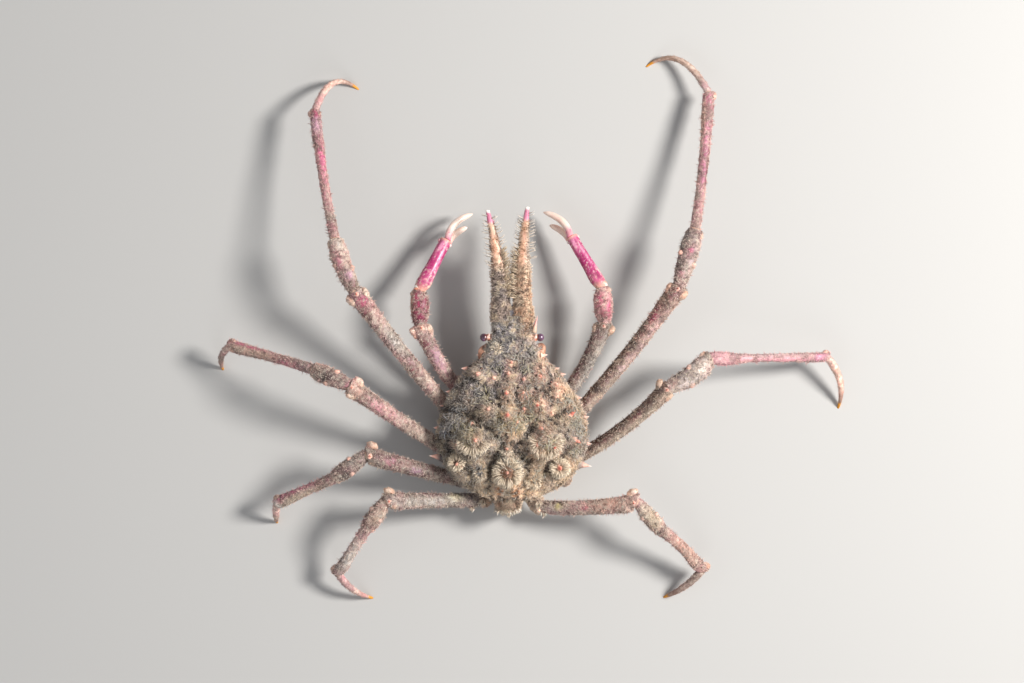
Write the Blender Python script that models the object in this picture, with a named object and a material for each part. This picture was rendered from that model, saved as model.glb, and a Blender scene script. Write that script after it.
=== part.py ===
"""A long-snouted spider crab at life size, sprawled flat with its legs spread.

The head points along +Y, the crab's own right side along +X, and the floor is at z = 0. The origin
lies on the flat under the folded tail, below the middle of the shell. Two claws, seven walking legs
and the stub of a lost eighth leg leave the underside, and the tail and the seven leg tips touch the
floor. Sizes below are in millimetres, and MM turns them into metres as each mesh is made.
"""

import math
from collections import namedtuple

import bmesh
import bpy
from mathutils import Matrix, Vector

MM = 0.001
GAP = 0.3
UP = Vector((0, 0, 1))
TAU = 2 * math.pi

# Shell: a pear-shaped dome on a flat underside, drawn out into a neck in front.
SHELL_REAR = -15.6
SHELL_FRONT = 29.6
SHELL_HALF_WIDTH = 18.6
WIDEST_AT = -0.5
REAR_REACH = 15.6
FRONT_REACH = 20.0
NECK_HALF_WIDTH = 5.3
NECK_FROM = 24.3
CHEEK_SPREAD = 7.2
CHEEK_REACH = 9.3
EDGE_HEIGHT = 12.0
NECK_EDGE_HEIGHT = 14.3
CREST_HEIGHT = 16.2
CREST_SWELL = 4.2
CREST_AT = 4.0
CREST_REACH = 11.0
REAR_FALL = 3.8
BELLY_HEIGHT = 9.5
NECK_BELLY_HEIGHT = 12.4
SHELL_SECTIONS = 30
SHELL_COLUMNS = 20

# Bosses of the shell: place across, place along, height and spread.
Boss = namedtuple("Boss", "x y height spread")
BOSSES = (
    Boss(8.5, -1.3, 3.2, 3.8),
    Boss(-9.8, -1.3, 3.2, 4.0),
    Boss(-13.6, -6.8, 1.8, 2.6),
    Boss(12.0, -8.2, 2.0, 2.7),
    Boss(-1.2, -9.5, 2.6, 3.8),
    Boss(-1.2, -3.8, 1.5, 2.3),
    Boss(-1.1, 5.4, 1.6, 2.6),
    Boss(-1.4, 10.8, 1.2, 2.2),
    Boss(6.5, 7.7, 1.5, 2.4),
    Boss(-5.9, 6.9, 1.3, 2.4),
    Boss(-8.5, 15.3, 1.0, 2.2),
    Boss(10.9, 12.8, 1.1, 2.2),
    Boss(-6.0, 2.2, -1.2, 2.0),
    Boss(5.4, 2.4, -1.2, 2.0),
    Boss(-5.2, -6.0, -1.1, 2.0),
    Boss(4.4, -5.6, -1.1, 2.0),
    Boss(-10.5, 5.0, -0.8, 2.2),
    Boss(11.0, 4.6, -0.8, 2.2),
    Boss(-4.0, 14.5, -0.6, 2.4),
    Boss(3.8, 14.8, -0.6, 2.4),
)

# Tubercles and spines of the shell: place, direction, length and girth.
Spine = namedtuple("Spine", "x y aim length girth")
TUBERCLES = (
    Spine(-1.1, 5.4, (0, 0, 1), 1.2, 0.75),
    Spine(-1.4, 10.8, (0, 0, 1), 0.9, 0.6),
    Spine(-0.9, 15.7, (0, 0.2, 1), 0.7, 0.5),
    Spine(-0.1, 18.2, (0, 0.2, 1), 0.6, 0.45),
    Spine(-5.0, 14.2, (-0.2, 0.2, 1), 0.7, 0.5),
    Spine(2.9, 13.8, (0.1, 0.2, 1), 0.7, 0.5),
    Spine(7.0, 14.9, (0.3, 0.2, 1), 0.7, 0.5),
    Spine(-8.5, 15.5, (-0.4, 0.2, 1), 0.8, 0.55),
    Spine(10.9, 12.8, (0.4, 0.2, 1), 0.9, 0.6),
    Spine(3.0, 6.5, (0.1, 0, 1), 0.8, 0.5),
    Spine(6.5, 7.7, (0.2, 0, 1), 1.1, 0.75),
    Spine(-5.9, 6.9, (-0.2, 0, 1), 1.0, 0.6),
    Spine(1.3, 3.6, (0, -0.1, 1), 0.7, 0.45),
    Spine(7.4, 1.5, (0.1, 0.1, 1), 0.9, 0.55),
    Spine(6.1, -2.1, (0, -0.1, 1), 0.8, 0.5),
    Spine(10.4, -3.4, (0.2, -0.2, 1), 0.8, 0.5),
    Spine(-9.0, -0.8, (0, 0, 1), 1.0, 0.6),
    Spine(-10.0, 3.0, (-0.2, 0.2, 1), 0.8, 0.5),
    Spine(-13.5, -1.8, (-0.4, 0, 1), 0.9, 0.55),
    Spine(-1.2, -3.8, (0, 0, 1), 0.9, 0.6),
    Spine(-1.2, -9.5, (0, -0.3, 1), 1.3, 0.75),
    Spine(12.0, -8.2, (0.3, -0.3, 1), 1.6, 0.75),
    Spine(-13.6, -6.8, (-0.3, -0.2, 1), 1.1, 0.65),
    Spine(14.6, 5.6, (0.6, 0.4, 0.7), 1.4, 0.6),
    Spine(16.0, -1.0, (0.7, -0.4, 0.6), 1.4, 0.6),
)
# Spines of the shell's edge: a height above the edge comes before the direction.
EdgeSpine = namedtuple("EdgeSpine", "y side aim length girth")
EDGE_SPINES = (
    EdgeSpine(16.6, -1, (-1, 0.1, 0.15), 1.9, 0.8),
    EdgeSpine(10.9, -1, (-1, 0.1, 0.2), 1.4, 0.6),
    EdgeSpine(7.4, -1, (-1, 0.2, 0.2), 1.1, 0.5),
    EdgeSpine(2.0, -1, (-1, 0.1, 0.2), 1.2, 0.6),
    EdgeSpine(-5.1, -1, (-1, 0.1, 0.2), 3.0, 0.9),
    EdgeSpine(15.4, 1, (1, 0.1, 0.15), 1.5, 0.65),
    EdgeSpine(9.4, 1, (1, 0.1, 0.2), 1.4, 0.6),
    EdgeSpine(4.7, 1, (1, 0.1, 0.2), 1.3, 0.6),
    EdgeSpine(-1.8, 1, (1, -0.1, 0.2), 1.4, 0.6),
    EdgeSpine(-7.0, 1, (1, -0.15, 0.2), 3.0, 0.9),
    EdgeSpine(20.9, -1, (-1, 0.2, 0), 1.5, 1.1),
    EdgeSpine(20.9, 1, (1, 0.2, 0), 1.5, 1.1),
)
BROW_SPINE = Spine(5.0, 27.4, (0.35, 1, 0.1), 2.4, 0.6)
SPINE_SIDES = 5
SPINE_ROOT = 0.7

# Rosettes: rings or arcs of tapered locks round a boss, as centre, radius, first and last angle.
Rosette = namedtuple("Rosette", "x y radius first last count length")
ROSETTES = (
    Rosette(-1.2, -9.5, 2.7, 0, 360, 13, 1.9),
    Rosette(-13.6, -6.8, 1.7, 0, 360, 8, 1.5),
    Rosette(12.0, -8.2, 1.8, 0, 360, 8, 1.6),
    Rosette(8.5, -1.3, 3.4, 195, 370, 10, 1.9),
    Rosette(-9.8, -1.3, 3.6, 190, 345, 9, 1.9),
    Rosette(-1.2, -3.8, 1.8, 200, 340, 4, 1.3),
)
# Clumps of hooked bristles between the bosses: place and heading of their lean.
CLUMPS = ((-6.7, 9.4, 120), (-12.4, 0.8, 160), (4.6, 7.4, 40), (10.6, -1.2, 20), (-3.4, 17.0, 100),
          (3.4, 11.0, 70), (-8.2, 12.0, 130), (13.2, 9.0, 30), (-15.0, 3.6, 170), (0.8, -6.6, 270),
          (1.4, 19.6, 80), (5.6, 4.4, 300), (-3.2, 2.0, 240))
CLUMP_LENGTH = 1.7
LOCK_GIRTH = 0.36
LOCK_ROOT = 0.5
LOCK_STEPS = 3
LOCK_TAPER = 0.68
LOCK_FLAT = 0.75

# Underside: a plate with a long groove for the tail, and one coxa for each limb.
CHEST_REAR = -15.0
CHEST_FRONT = 17.0
CHEST_TOP = BELLY_HEIGHT - GAP
CHEST_HALF_WIDTH = 9.4
GROOVE_HALF_WIDTH = 3.6
GROOVE_HEIGHT = 2.1
RIDGE_HEIGHT = 0.9
MOUTH_HEIGHT = 6.0
COXA_GIRTH = 1.75

# Tail: a jointed strap that leaves the shell behind, turns under and lies in the groove.
TAIL_CENTRE = -0.9
TAIL_HALF_WIDTH = 3.1
TAIL_THICKNESS = 1.8
TAIL_END = 3.6
TAIL_REACH = 2.3
TAIL_START_HEIGHT = 11.0

# Rostral spines: side, sideways drift as a + b t + c t^2, length and girth.
Horn = namedtuple("Horn", "side start drift sweep length")
HORNS = (
    Horn("left", -2.75, 0.3, -3.6, 25.8),
    Horn("right", 3.0, -2.2, 3.0, 26.6),
)
HORN_HEIGHT = 14.3
HORN_GIRTH = 2.35
HORN_PROFILE = ((0, 1), (0.1, 0.9), (0.25, 0.81), (0.45, 0.71), (0.62, 0.54), (0.86, 0.34), (1, 0.21))
HORN_SQUASH = 0.8
HORN_MIDLINE = 0.12
BRISTLES = 16
BRISTLE_LENGTH = 2.5
BRISTLE_GIRTH = 0.31
BRISTLE_TILT = 24.0
BRISTLE_AHEAD = 12.0
SPINULE_AT = 0.88

# Eyes: a short stalk and a round cornea on each side of the neck.
EYE_Y = 24.4
EYE_HEIGHT = 14.4
STALK_FROM = 5.75
STALK_GIRTH = 0.8
STALK_LENGTH = 0.45
CORNEA_RADIUS = 1.0
ORBIT_FROM = 3.6
ORBIT_GIRTH = 0.95

# Feelers lie under the rostral spines.
FEELER_X = 3.0
FEELER_FROM = 24.0
FEELER_HEIGHT = 11.0
FEELER_LENGTH = 11.0
FEELER_GIRTH = 0.6

# Mouthparts: two plates under the front of the chest.
MOUTH_FROM = 6.5
MOUTH_TO = 16.5
MOUTH_HALF_WIDTH = 3.2
MOUTH_THICKNESS = 1.2

# Limbs. A run is a length, a heading from +X and a pitch above the floor. Bow bends it sideways, and
# root swell makes it stouter at its root.
Run = namedtuple("Run", "length heading pitch girth bow root_swell", defaults=(0, 1))
Tip = namedtuple("Tip", "reach heading girth bow skew lift")
Leg = namedtuple("Leg", "name root merus carpus propodus tip")
Claw = namedtuple("Claw", "side root merus carpus palm outward")

LEGS = (
    Leg("leg_1_left", (-14.0, 4.7, 6.5), Run(41.8, 128.4, 18.8, 2.05, 0.5), Run(13.6, 110.9, -4.2, 2.3, 0.4),
        Run(33.8, 99.4, -15.4, 1.38, 0.5), Tip(11.7, 31.8, 0.92, 7.6, 0.25, 1.5)),
    Leg("leg_1_right", (14.9, 4.2, 6.5), Run(43.1, 51.4, 12.7, 2.0, -0.9), Run(14.4, 73.9, -4.0, 2.4),
        Run(35.5, 83.8, -13.9, 1.45, -0.45), Tip(16.5, 153.8, 0.88, -8.6, 0.2, 2.0)),
    Leg("leg_2_left", (-14.9, -4.3, 6.5), Run(33.5, 145.9, 25.6, 2.0, 0.4), Run(9.8, 156.3, -8.8, 2.25),
        Run(24.0, 164.7, -24.6, 1.35, -0.2), Tip(6.3, -112.8, 0.85, -2.4, 0.1, 1.0)),
    Leg("leg_2_right", (15.2, -5.9, 6.5), Run(31.7, 37.8, 21.3, 1.9, -1.3), Run(12.4, 34.3, -4.6, 2.5, -0.8),
        Run(31.0, 0.6, -17.8, 1.22, 0, 1.5), Tip(12.9, -75.0, 0.72, 3.3, 0.05, 2.5)),
    Leg("leg_3_left", (-9.9, -11.5, 6.5), Run(29.1, 164.8, 23.3, 2.05, 0.3), Run(10.1, -144.7, -11.4, 2.1),
        Run(17.7, -155.7, -26.9, 1.4), Tip(5.1, -96.7, 0.95, -0.5, 0.1, 1.6)),
    Leg("leg_4_left", (-7.6, -16.0, 6.2), Run(25.0, 179.8, 20.6, 2.0), Run(8.8, -125.6, -13.1, 2.1),
        Run(15.1, -122.6, -27.6, 1.35), Tip(10.4, -38.8, 0.85, -2.1, 0.0, 2.0)),
    Leg("leg_4_right", (7.5, -17.7, 6.2), Run(24.9, 3.6, 20.7, 2.05, -0.7), Run(9.7, -48.2, -11.8, 2.0),
        Run(15.9, -45.2, -26.1, 1.45, 0.6), Tip(11.3, -142.0, 0.85, 1.5, 0.0, 2.0)),
)
CLAWS = (
    Claw("left", (-12.0, 10.1, 6.5), Run(21.1, 121.4, 15.1, 1.95, 1.0), Run(8.3, 91.8, -3.5, 2.4),
         Run(14.7, 62.9, -13.8, 1.72), 1),
    Claw("right", (13.3, 10.1, 6.5), Run(21.0, 61.9, 15.2, 1.95, -0.8), Run(8.7, 94.0, -3.3, 2.4),
         Run(15.1, 120.5, -13.4, 1.65), -1),
)
STUB_ROOT = (11.4, -10.2, 6.9)
STUB_RUN = Run(3.4, -10.0, 12.0, 2.1)

# Girth along each kind of piece, as a part of its named girth.
MERUS_PROFILE = ((0, 0.82), (0.1, 0.9), (0.3, 0.92), (0.55, 0.95), (0.78, 1.02), (0.92, 1.16), (1, 1.0))
CARPUS_PROFILE = ((0, 0.68), (0.22, 0.88), (0.48, 1.0), (0.75, 1.06), (1, 0.8))
PROPODUS_PROFILE = ((0, 0.98), (0.14, 0.92), (0.4, 0.88), (0.65, 0.94), (0.88, 1.1), (1, 0.98))
TIP_PROFILE = ((0, 1), (0.18, 0.96), (0.36, 0.88), (0.54, 0.78), (0.72, 0.66), (0.87, 0.5), (1, 0.3))
BARREL_PROFILE = ((0, 0.66), (0.25, 0.94), (0.5, 1.0), (0.75, 0.98), (1, 0.7))
PALM_PROFILE = ((0, 0.78), (0.15, 0.98), (0.4, 1.0), (0.7, 0.9), (0.9, 0.86), (1, 0.84))
FINGER_PROFILE = ((0, 1), (0.2, 1.03), (0.45, 1.02), (0.7, 0.9), (0.88, 0.68), (1, 0.36))
LIMB_SIDES = 10
TIP_SIDES = 8
LIMB_SQUASH = 0.92
MITRE_REACH = 0.3

# Knobs beside each joint, and the small spine above it, as parts of the girth there.
KNOB_PART = {"merus": 0.5, "carpus": 0.42, "propodus": 0.42}
KNOB_SIDES = 7
KNOB_RINGS = 4
KNOB_OUT = {"merus": 1.1, "carpus": 0.85, "propodus": 0.9}
THORN_LENGTH = 1.3
THORN_GIRTH = 0.42
BUMP_PART = 0.34

# Fingers of the claws: the movable one lies over the other and is the longer.
# Each root's place across and above the palm's end, then its reach, turn in degrees and bow.
Finger = namedtuple("Finger", "out rise reach turn bow")
FREE_FINGER = Finger(-0.3, 0.85, 8.8, 23.0, 3.0)
FIXED_FINGER = Finger(-0.85, -0.8, 6.3, 27.0, 1.6)
FINGER_GIRTH = 0.68
FINGER_FALL = 1.4
FINGER_ROOT = 0.8
# Low knobs beside the fingers at the palm's end.
COLLAR_OUT = 0.72
COLLAR_BACK = 0.7
COLLAR_RADIUS = 0.52

# Colours from the photograph.
GREY_SHELL = (0.30, 0.25, 0.21)
PALE_BELLY = (0.62, 0.50, 0.42)
PINK_HORN = (0.62, 0.36, 0.30)
DARK_EYE = (0.05, 0.02, 0.07)
CORAL = (0.75, 0.38, 0.30)
LEG_PINK = (0.55, 0.36, 0.33)
LEG_TIP = (0.58, 0.34, 0.20)
CLAW_MAGENTA = (0.60, 0.12, 0.28)
FINGER_CREAM = (0.80, 0.62, 0.55)


def clear_scene():
    for obj in list(bpy.data.objects):
        bpy.data.objects.remove(obj, do_unlink=True)


def material(name, colour, roughness):
    made = bpy.data.materials.new(name)
    made.use_nodes = True
    shader = made.node_tree.nodes["Principled BSDF"]
    shader.inputs["Base Color"].default_value = (*colour, 1)
    shader.inputs["Roughness"].default_value = roughness
    shader.inputs["Metallic"].default_value = 0
    return made


def place(name, bm, colour, roughness=0.6):
    """Turns a mesh in millimetres into a named object in metres."""
    bmesh.ops.recalc_face_normals(bm, faces=bm.faces)
    bmesh.ops.triangulate(bm, faces=bm.faces)
    bmesh.ops.transform(bm, matrix=Matrix.Scale(MM, 4), verts=bm.verts)
    mesh = bpy.data.meshes.new(name)
    bm.to_mesh(mesh)
    bm.free()
    mesh.materials.append(material(name, colour, roughness))
    mesh.shade_smooth()
    obj = bpy.data.objects.new(name, mesh)
    MODEL.objects.link(obj)
    return obj


def loft(rings):
    """A closed skin over rings of one count, with a flat cap at each end."""
    bm = bmesh.new()
    loops = [[bm.verts.new(point) for point in ring] for ring in rings]
    for near, far in zip(loops, loops[1:]):
        for i, corner in enumerate(near):
            j = (i + 1) % len(near)
            bm.faces.new((corner, near[j], far[j], far[i]))
    bm.faces.new(loops[0][::-1])
    bm.faces.new(loops[-1])
    return bm


def blend(low, high, value):
    """0 below low, 1 above high, and a smooth step between."""
    t = min(max((value - low) / (high - low), 0), 1)
    return t * t * (3 - 2 * t)


def heading_pitch(heading, pitch):
    turn = math.radians(heading)
    rise = math.radians(pitch)
    return Vector((math.cos(rise) * math.cos(turn), math.cos(rise) * math.sin(turn), math.sin(rise)))


def left_of(along):
    return UP.cross(along).normalized()


def bend_point(start, control, end, t):
    return start * (1 - t) ** 2 + control * 2 * t * (1 - t) + end * t * t


def bend_along(start, control, end, t):
    return ((control - start) * (1 - t) + (end - control) * t).normalized()


def lean(out, along, plane):
    """How far a point slides along the piece to lie in the plane that ends it."""
    return -out.dot(plane) / along.dot(plane)


def tube(bend, planes, profile, girth, sides=LIMB_SIDES, squash=LIMB_SQUASH):
    """A limb piece on a bent axis, whose ends lie in the planes that it shares with its neighbours."""
    rings = []
    for t, swell in profile:
        centre = bend_point(*bend, t)
        along = bend_along(*bend, t)
        side = left_of(along)
        over = along.cross(side)
        near = max(0, 1 - t / MITRE_REACH)
        far = max(0, 1 - (1 - t) / MITRE_REACH)
        ring = []
        for k in range(sides):
            angle = TAU * (k + 0.5) / sides
            out = side * math.cos(angle) * girth * swell
            out += over * math.sin(angle) * girth * swell * squash
            slide = near * lean(out, along, planes[0]) + far * lean(out, along, planes[1])
            ring.append(centre + out + along * slide)
        rings.append(ring)
    return loft(rings)


def swollen(profile, run):
    """A profile made stouter towards the root, as some pieces are."""
    return [(t, wide * (1 + (run.root_swell - 1) * max(0, 1 - t / 0.4))) for t, wide in profile]


def run_bend(start, run):
    """Start, control point and end of a run from a joint."""
    step = heading_pitch(run.heading, run.pitch) * run.length
    return start, start + step / 2 + left_of(step) * 2 * run.bow, start + step


def tip_bend(start, tip):
    """The curve of a leg tip from its joint down to the floor."""
    flat = heading_pitch(tip.heading, 0) * tip.reach
    end = Vector((start.x, start.y, 0)) + flat
    control = start.lerp(end, 0.5 + tip.skew) + left_of(flat) * tip.bow + UP * tip.lift
    return start, control, end


def shared_planes(bends, first, last):
    """The plane between each bend and the next, halfway between their directions."""
    planes = [first]
    for one, two in zip(bends, bends[1:]):
        planes.append((bend_along(*one, 1) + bend_along(*two, 0)).normalized())
    planes.append(last)
    return planes


def shorten(bend, planes, ends=(1, 1)):
    """Draws a bend's ends back by half the gap from the planes that they meet."""
    start, control, end = bend
    head = bend_along(*bend, 0)
    tail = bend_along(*bend, 1)
    start = start + head * ends[0] * GAP / 2 / head.dot(planes[0])
    end = end - tail * ends[1] * GAP / 2 / tail.dot(planes[1])
    return start, control, end


def shell_half_width(y):
    reach = REAR_REACH if y < WIDEST_AT else FRONT_REACH
    body = SHELL_HALF_WIDTH * math.sqrt(max(0, 1 - ((y - WIDEST_AT) / reach) ** 2))
    cheek = NECK_HALF_WIDTH + CHEEK_SPREAD * (max(0, NECK_FROM - y) / CHEEK_REACH) ** 1.3
    share = blend(12, 15, y)
    return body * (1 - share) + cheek * share


def shell_edge(y):
    return EDGE_HEIGHT + (NECK_EDGE_HEIGHT - EDGE_HEIGHT) * blend(12, 23, y)


def shell_belly(y):
    return BELLY_HEIGHT + (NECK_BELLY_HEIGHT - BELLY_HEIGHT) * blend(CHEST_FRONT - 1, 23, y)


def shell_crest(y):
    swell = CREST_SWELL * math.exp(-((y - CREST_AT) / CREST_REACH) ** 2)
    fall = REAR_FALL * (max(0, -9 - y) / 6.6) ** 1.5
    return CREST_HEIGHT + swell - fall


def shell_top(x, y):
    """Height of the shell's upper surface over a place inside its outline."""
    across = min(abs(x) / shell_half_width(y), 1)
    dome = math.sqrt(1 - across ** 2.6)
    bumps = sum(b.height * math.exp(-((x - b.x) ** 2 + (y - b.y) ** 2) / b.spread ** 2) for b in BOSSES)
    edge = shell_edge(y)
    return edge + (shell_crest(y) - edge) * dome + bumps * min(1, 2 * dome)


def shell_section(y):
    wide = shell_half_width(y)
    ring = []
    for k in range(SHELL_COLUMNS + 1):
        t = 2 * k / SHELL_COLUMNS - 1
        x = wide * (0.6 * t + 0.4 * math.sin(t * math.pi / 2))
        ring.append(Vector((x, y, shell_top(x, y))))
    edge = shell_edge(y)
    belly = shell_belly(y)
    for across, drop in ((0.85, 0.5), (0.52, 1), (0.2, 1), (-0.2, 1), (-0.52, 1), (-0.85, 0.5)):
        ring.append(Vector((wide * across, y, edge + (belly - edge) * drop)))
    return ring


def spike(root, aim, length, girth, sides=SPINE_SIDES):
    """A blunt tapered spine whose foot is sunk below its root."""
    aim = Vector(aim).normalized()
    side = aim.orthogonal().normalized()
    over = aim.cross(side)
    rings = []
    for along, swell in ((-SPINE_ROOT, 1.15), (length * 0.55, 0.6), (length, 0.18)):
        ring = []
        for k in range(sides):
            angle = TAU * k / sides
            out = (side * math.cos(angle) + over * math.sin(angle)) * girth * swell
            ring.append(root + aim * along + out)
        rings.append(ring)
    return loft(rings)


def lock(root, aim, toward, length, girth=LOCK_GIRTH):
    """A tapered lock of bristles that bends from its aim towards a second direction."""
    aim = aim.normalized()
    toward = toward.normalized()
    side = aim.cross(toward).normalized()
    point = root - aim * LOCK_ROOT
    step = (length + LOCK_ROOT) / LOCK_STEPS
    rings = []
    for k in range(LOCK_STEPS + 1):
        t = k / LOCK_STEPS
        along = aim.lerp(toward, t).normalized()
        over = along.cross(side)
        thick = girth * (1 - LOCK_TAPER * t)
        corners = ((1, -LOCK_FLAT / 2), (0, LOCK_FLAT), (-1, -LOCK_FLAT / 2))
        rings.append([point + side * thick * a + over * thick * b for a, b in corners])
        point = point + along * step
    return loft(rings)


def knob(centre, radius):
    bm = bmesh.new()
    bmesh.ops.create_uvsphere(bm, u_segments=KNOB_SIDES, v_segments=KNOB_RINGS, radius=radius,
                              matrix=Matrix.Translation(centre))
    return bm


def shell_point(x, y):
    return Vector((x, y, shell_top(x, y)))


def shell_normal(x, y):
    step = 0.2
    across = shell_point(x + step, y) - shell_point(x - step, y)
    ahead = shell_point(x, y + step) - shell_point(x, y - step)
    return across.cross(ahead).normalized()


def rosette_locks(rosette):
    """Locks that stand round a boss, lean away from its middle and hook up at their tips."""
    span = rosette.last - rosette.first
    stops = rosette.count if span == 360 else rosette.count - 1
    for k in range(rosette.count):
        turn = math.radians(rosette.first + span * k / stops)
        away = Vector((math.cos(turn), math.sin(turn), 0))
        x = rosette.x + away.x * rosette.radius
        y = rosette.y + away.y * rosette.radius
        aim = shell_normal(x, y) * 0.7 + away * 0.75
        swing = left_of(away) * (0.35 if k % 2 else -0.35)
        yield lock(shell_point(x, y), aim, UP * 1.1 + away * 0.1 + swing, rosette.length)


def clump_lock(x, y, heading):
    away = heading_pitch(heading, 0)
    aim = shell_normal(x, y) + away * 0.3
    return lock(shell_point(x, y), aim, away + UP * 0.2, CLUMP_LENGTH)


def edge_spine(spine):
    root = Vector((spine.side * (shell_half_width(spine.y) - 0.15), spine.y, shell_edge(spine.y) + 0.5))
    return spike(root, spine.aim, spine.length, spine.girth)


def orbit(sign):
    """The short socket that holds the eyestalk."""
    root = Vector((sign * ORBIT_FROM, EYE_Y, EYE_HEIGHT))
    end = Vector((sign * (STALK_FROM - GAP), EYE_Y, EYE_HEIGHT))
    along = Vector((sign, 0, 0))
    return tube((root, (root + end) / 2, end), (along, along), ((0, 1), (1, 1)), ORBIT_GIRTH, TIP_SIDES, 1)


def build_shell():
    steps = [(k / SHELL_SECTIONS) ** 1.12 for k in range(SHELL_SECTIONS + 1)]
    sections = [shell_section(SHELL_REAR + (SHELL_FRONT - SHELL_REAR) * step) for step in steps]
    pieces = [spike(shell_point(s.x, s.y), s.aim, s.length, s.girth) for s in TUBERCLES]
    brow = Vector((BROW_SPINE.x, BROW_SPINE.y, NECK_EDGE_HEIGHT))
    pieces.append(spike(brow, BROW_SPINE.aim, BROW_SPINE.length, BROW_SPINE.girth))
    pieces += [edge_spine(spine) for spine in EDGE_SPINES]
    pieces += [orbit(-1), orbit(1)]
    for rosette in ROSETTES:
        pieces += list(rosette_locks(rosette))
    pieces += [clump_lock(*clump) for clump in CLUMPS]
    fused("carapace", loft(sections), pieces, GREY_SHELL, 0.85)


def chest_section(y, wide, low):
    """One cross-section of the underside, grooved where the tail lies."""
    groove = GROOVE_HEIGHT if y < TAIL_END + 0.4 else low
    inner = wide * 0.82
    right = ((wide, CHEST_TOP), (wide, low * 0.4 + CHEST_TOP * 0.6), (inner, low + 0.7),
             (inner * 0.86, low), (GROOVE_HALF_WIDTH, low), (GROOVE_HALF_WIDTH - 0.2, groove))
    points = [Vector((x + TAIL_CENTRE, y, z)) for x, z in right]
    return points + [Vector((TAIL_CENTRE - x, y, z)) for x, z in reversed(right)]


def leg_roots():
    """Root and first direction of every limb, for the coxae of the underside."""
    for leg in LEGS:
        bend = run_bend(Vector(leg.root), leg.merus)
        yield Vector(leg.root), bend_along(*bend, 0)
    for claw in CLAWS:
        bend = run_bend(Vector(claw.root), claw.merus)
        yield Vector(claw.root), bend_along(*bend, 0)
    bend = run_bend(Vector(STUB_ROOT), STUB_RUN)
    yield Vector(STUB_ROOT), bend_along(*bend, 0)


def coxa(root, along):
    """The short first piece of a limb, from inside the chest to the limb's root."""
    inside = Vector((math.copysign(5.4, root.x), root.y * 0.78, root.z - 0.2))
    end = root - along * GAP / 2
    control = end - along * (end - inside).length * 0.45
    bend = (inside, control, end)
    planes = (bend_along(*bend, 0), along)
    return tube(bend, planes, ((0, 0.95), (0.35, 1.08), (0.7, 1.05), (1, 0.92)), COXA_GIRTH)


def build_chest():
    stations = ((CHEST_REAR, 5.3, RIDGE_HEIGHT + 0.5), (-12.5, 5.8, RIDGE_HEIGHT),
                (-6, 8.6, RIDGE_HEIGHT), (0, CHEST_HALF_WIDTH, RIDGE_HEIGHT),
                (TAIL_END, 9.2, RIDGE_HEIGHT), (TAIL_END + 0.8, 9.1, RIDGE_HEIGHT + 0.3),
                (MOUTH_FROM, 8.8, GROOVE_HEIGHT), (12, 7.6, 4.1), (CHEST_FRONT, 5.2, MOUTH_HEIGHT))
    base = loft([chest_section(*station) for station in stations])
    fused("chest", base, [coxa(*root) for root in leg_roots()], PALE_BELLY)


def hidden_object(name, bm, collection):
    """A closed piece in millimetres, ready to be joined."""
    bmesh.ops.recalc_face_normals(bm, faces=bm.faces)
    bmesh.ops.triangulate(bm, faces=bm.faces)
    mesh = bpy.data.meshes.new(name)
    bm.to_mesh(mesh)
    bm.free()
    obj = bpy.data.objects.new(name, mesh)
    collection.objects.link(obj)
    return obj


def largest_surface(bm):
    """Keeps only the closed surface that holds the most room."""
    left = set(bm.verts)
    groups = []
    while left:
        group = set()
        edge_of = [left.pop()]
        while edge_of:
            vert = edge_of.pop()
            group.add(vert)
            for edge in vert.link_edges:
                other = edge.other_vert(vert)
                if other in left:
                    left.discard(other)
                    edge_of.append(other)
        groups.append(group)
    keep = max(groups, key=lambda group: box_volume([v.co for v in group]))
    bmesh.ops.delete(bm, geom=[v for v in bm.verts if v not in keep], context="VERTS")


def box_volume(points):
    size = 1.0
    for axis in range(3):
        values = [p[axis] for p in points]
        size *= max(values) - min(values)
    return size


def fused(name, base, pieces, colour, roughness=0.6):
    """One node: a closed base with closed pieces sunk into it, joined by one union."""
    if not pieces:
        return place(name, base, colour, roughness)
    scraps = bpy.data.collections.new(name + "_pieces")
    bpy.context.scene.collection.children.link(scraps)
    for k, piece in enumerate(pieces):
        hidden_object(f"{name}_piece_{k}", piece, scraps)
    body = hidden_object(name + "_base", base, MODEL)
    union = body.modifiers.new("union", "BOOLEAN")
    union.operation = "UNION"
    union.operand_type = "COLLECTION"
    union.collection = scraps
    union.solver = "MANIFOLD"
    view = bpy.context.evaluated_depsgraph_get()
    joined = bpy.data.meshes.new_from_object(body.evaluated_get(view))
    for obj in list(scraps.objects):
        bpy.data.objects.remove(obj, do_unlink=True)
    bpy.data.objects.remove(body, do_unlink=True)
    bpy.data.collections.remove(scraps)
    bm = bmesh.new()
    bm.from_mesh(joined)
    bpy.data.meshes.remove(joined)
    largest_surface(bm)
    return place(name, bm, colour, roughness)


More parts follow.
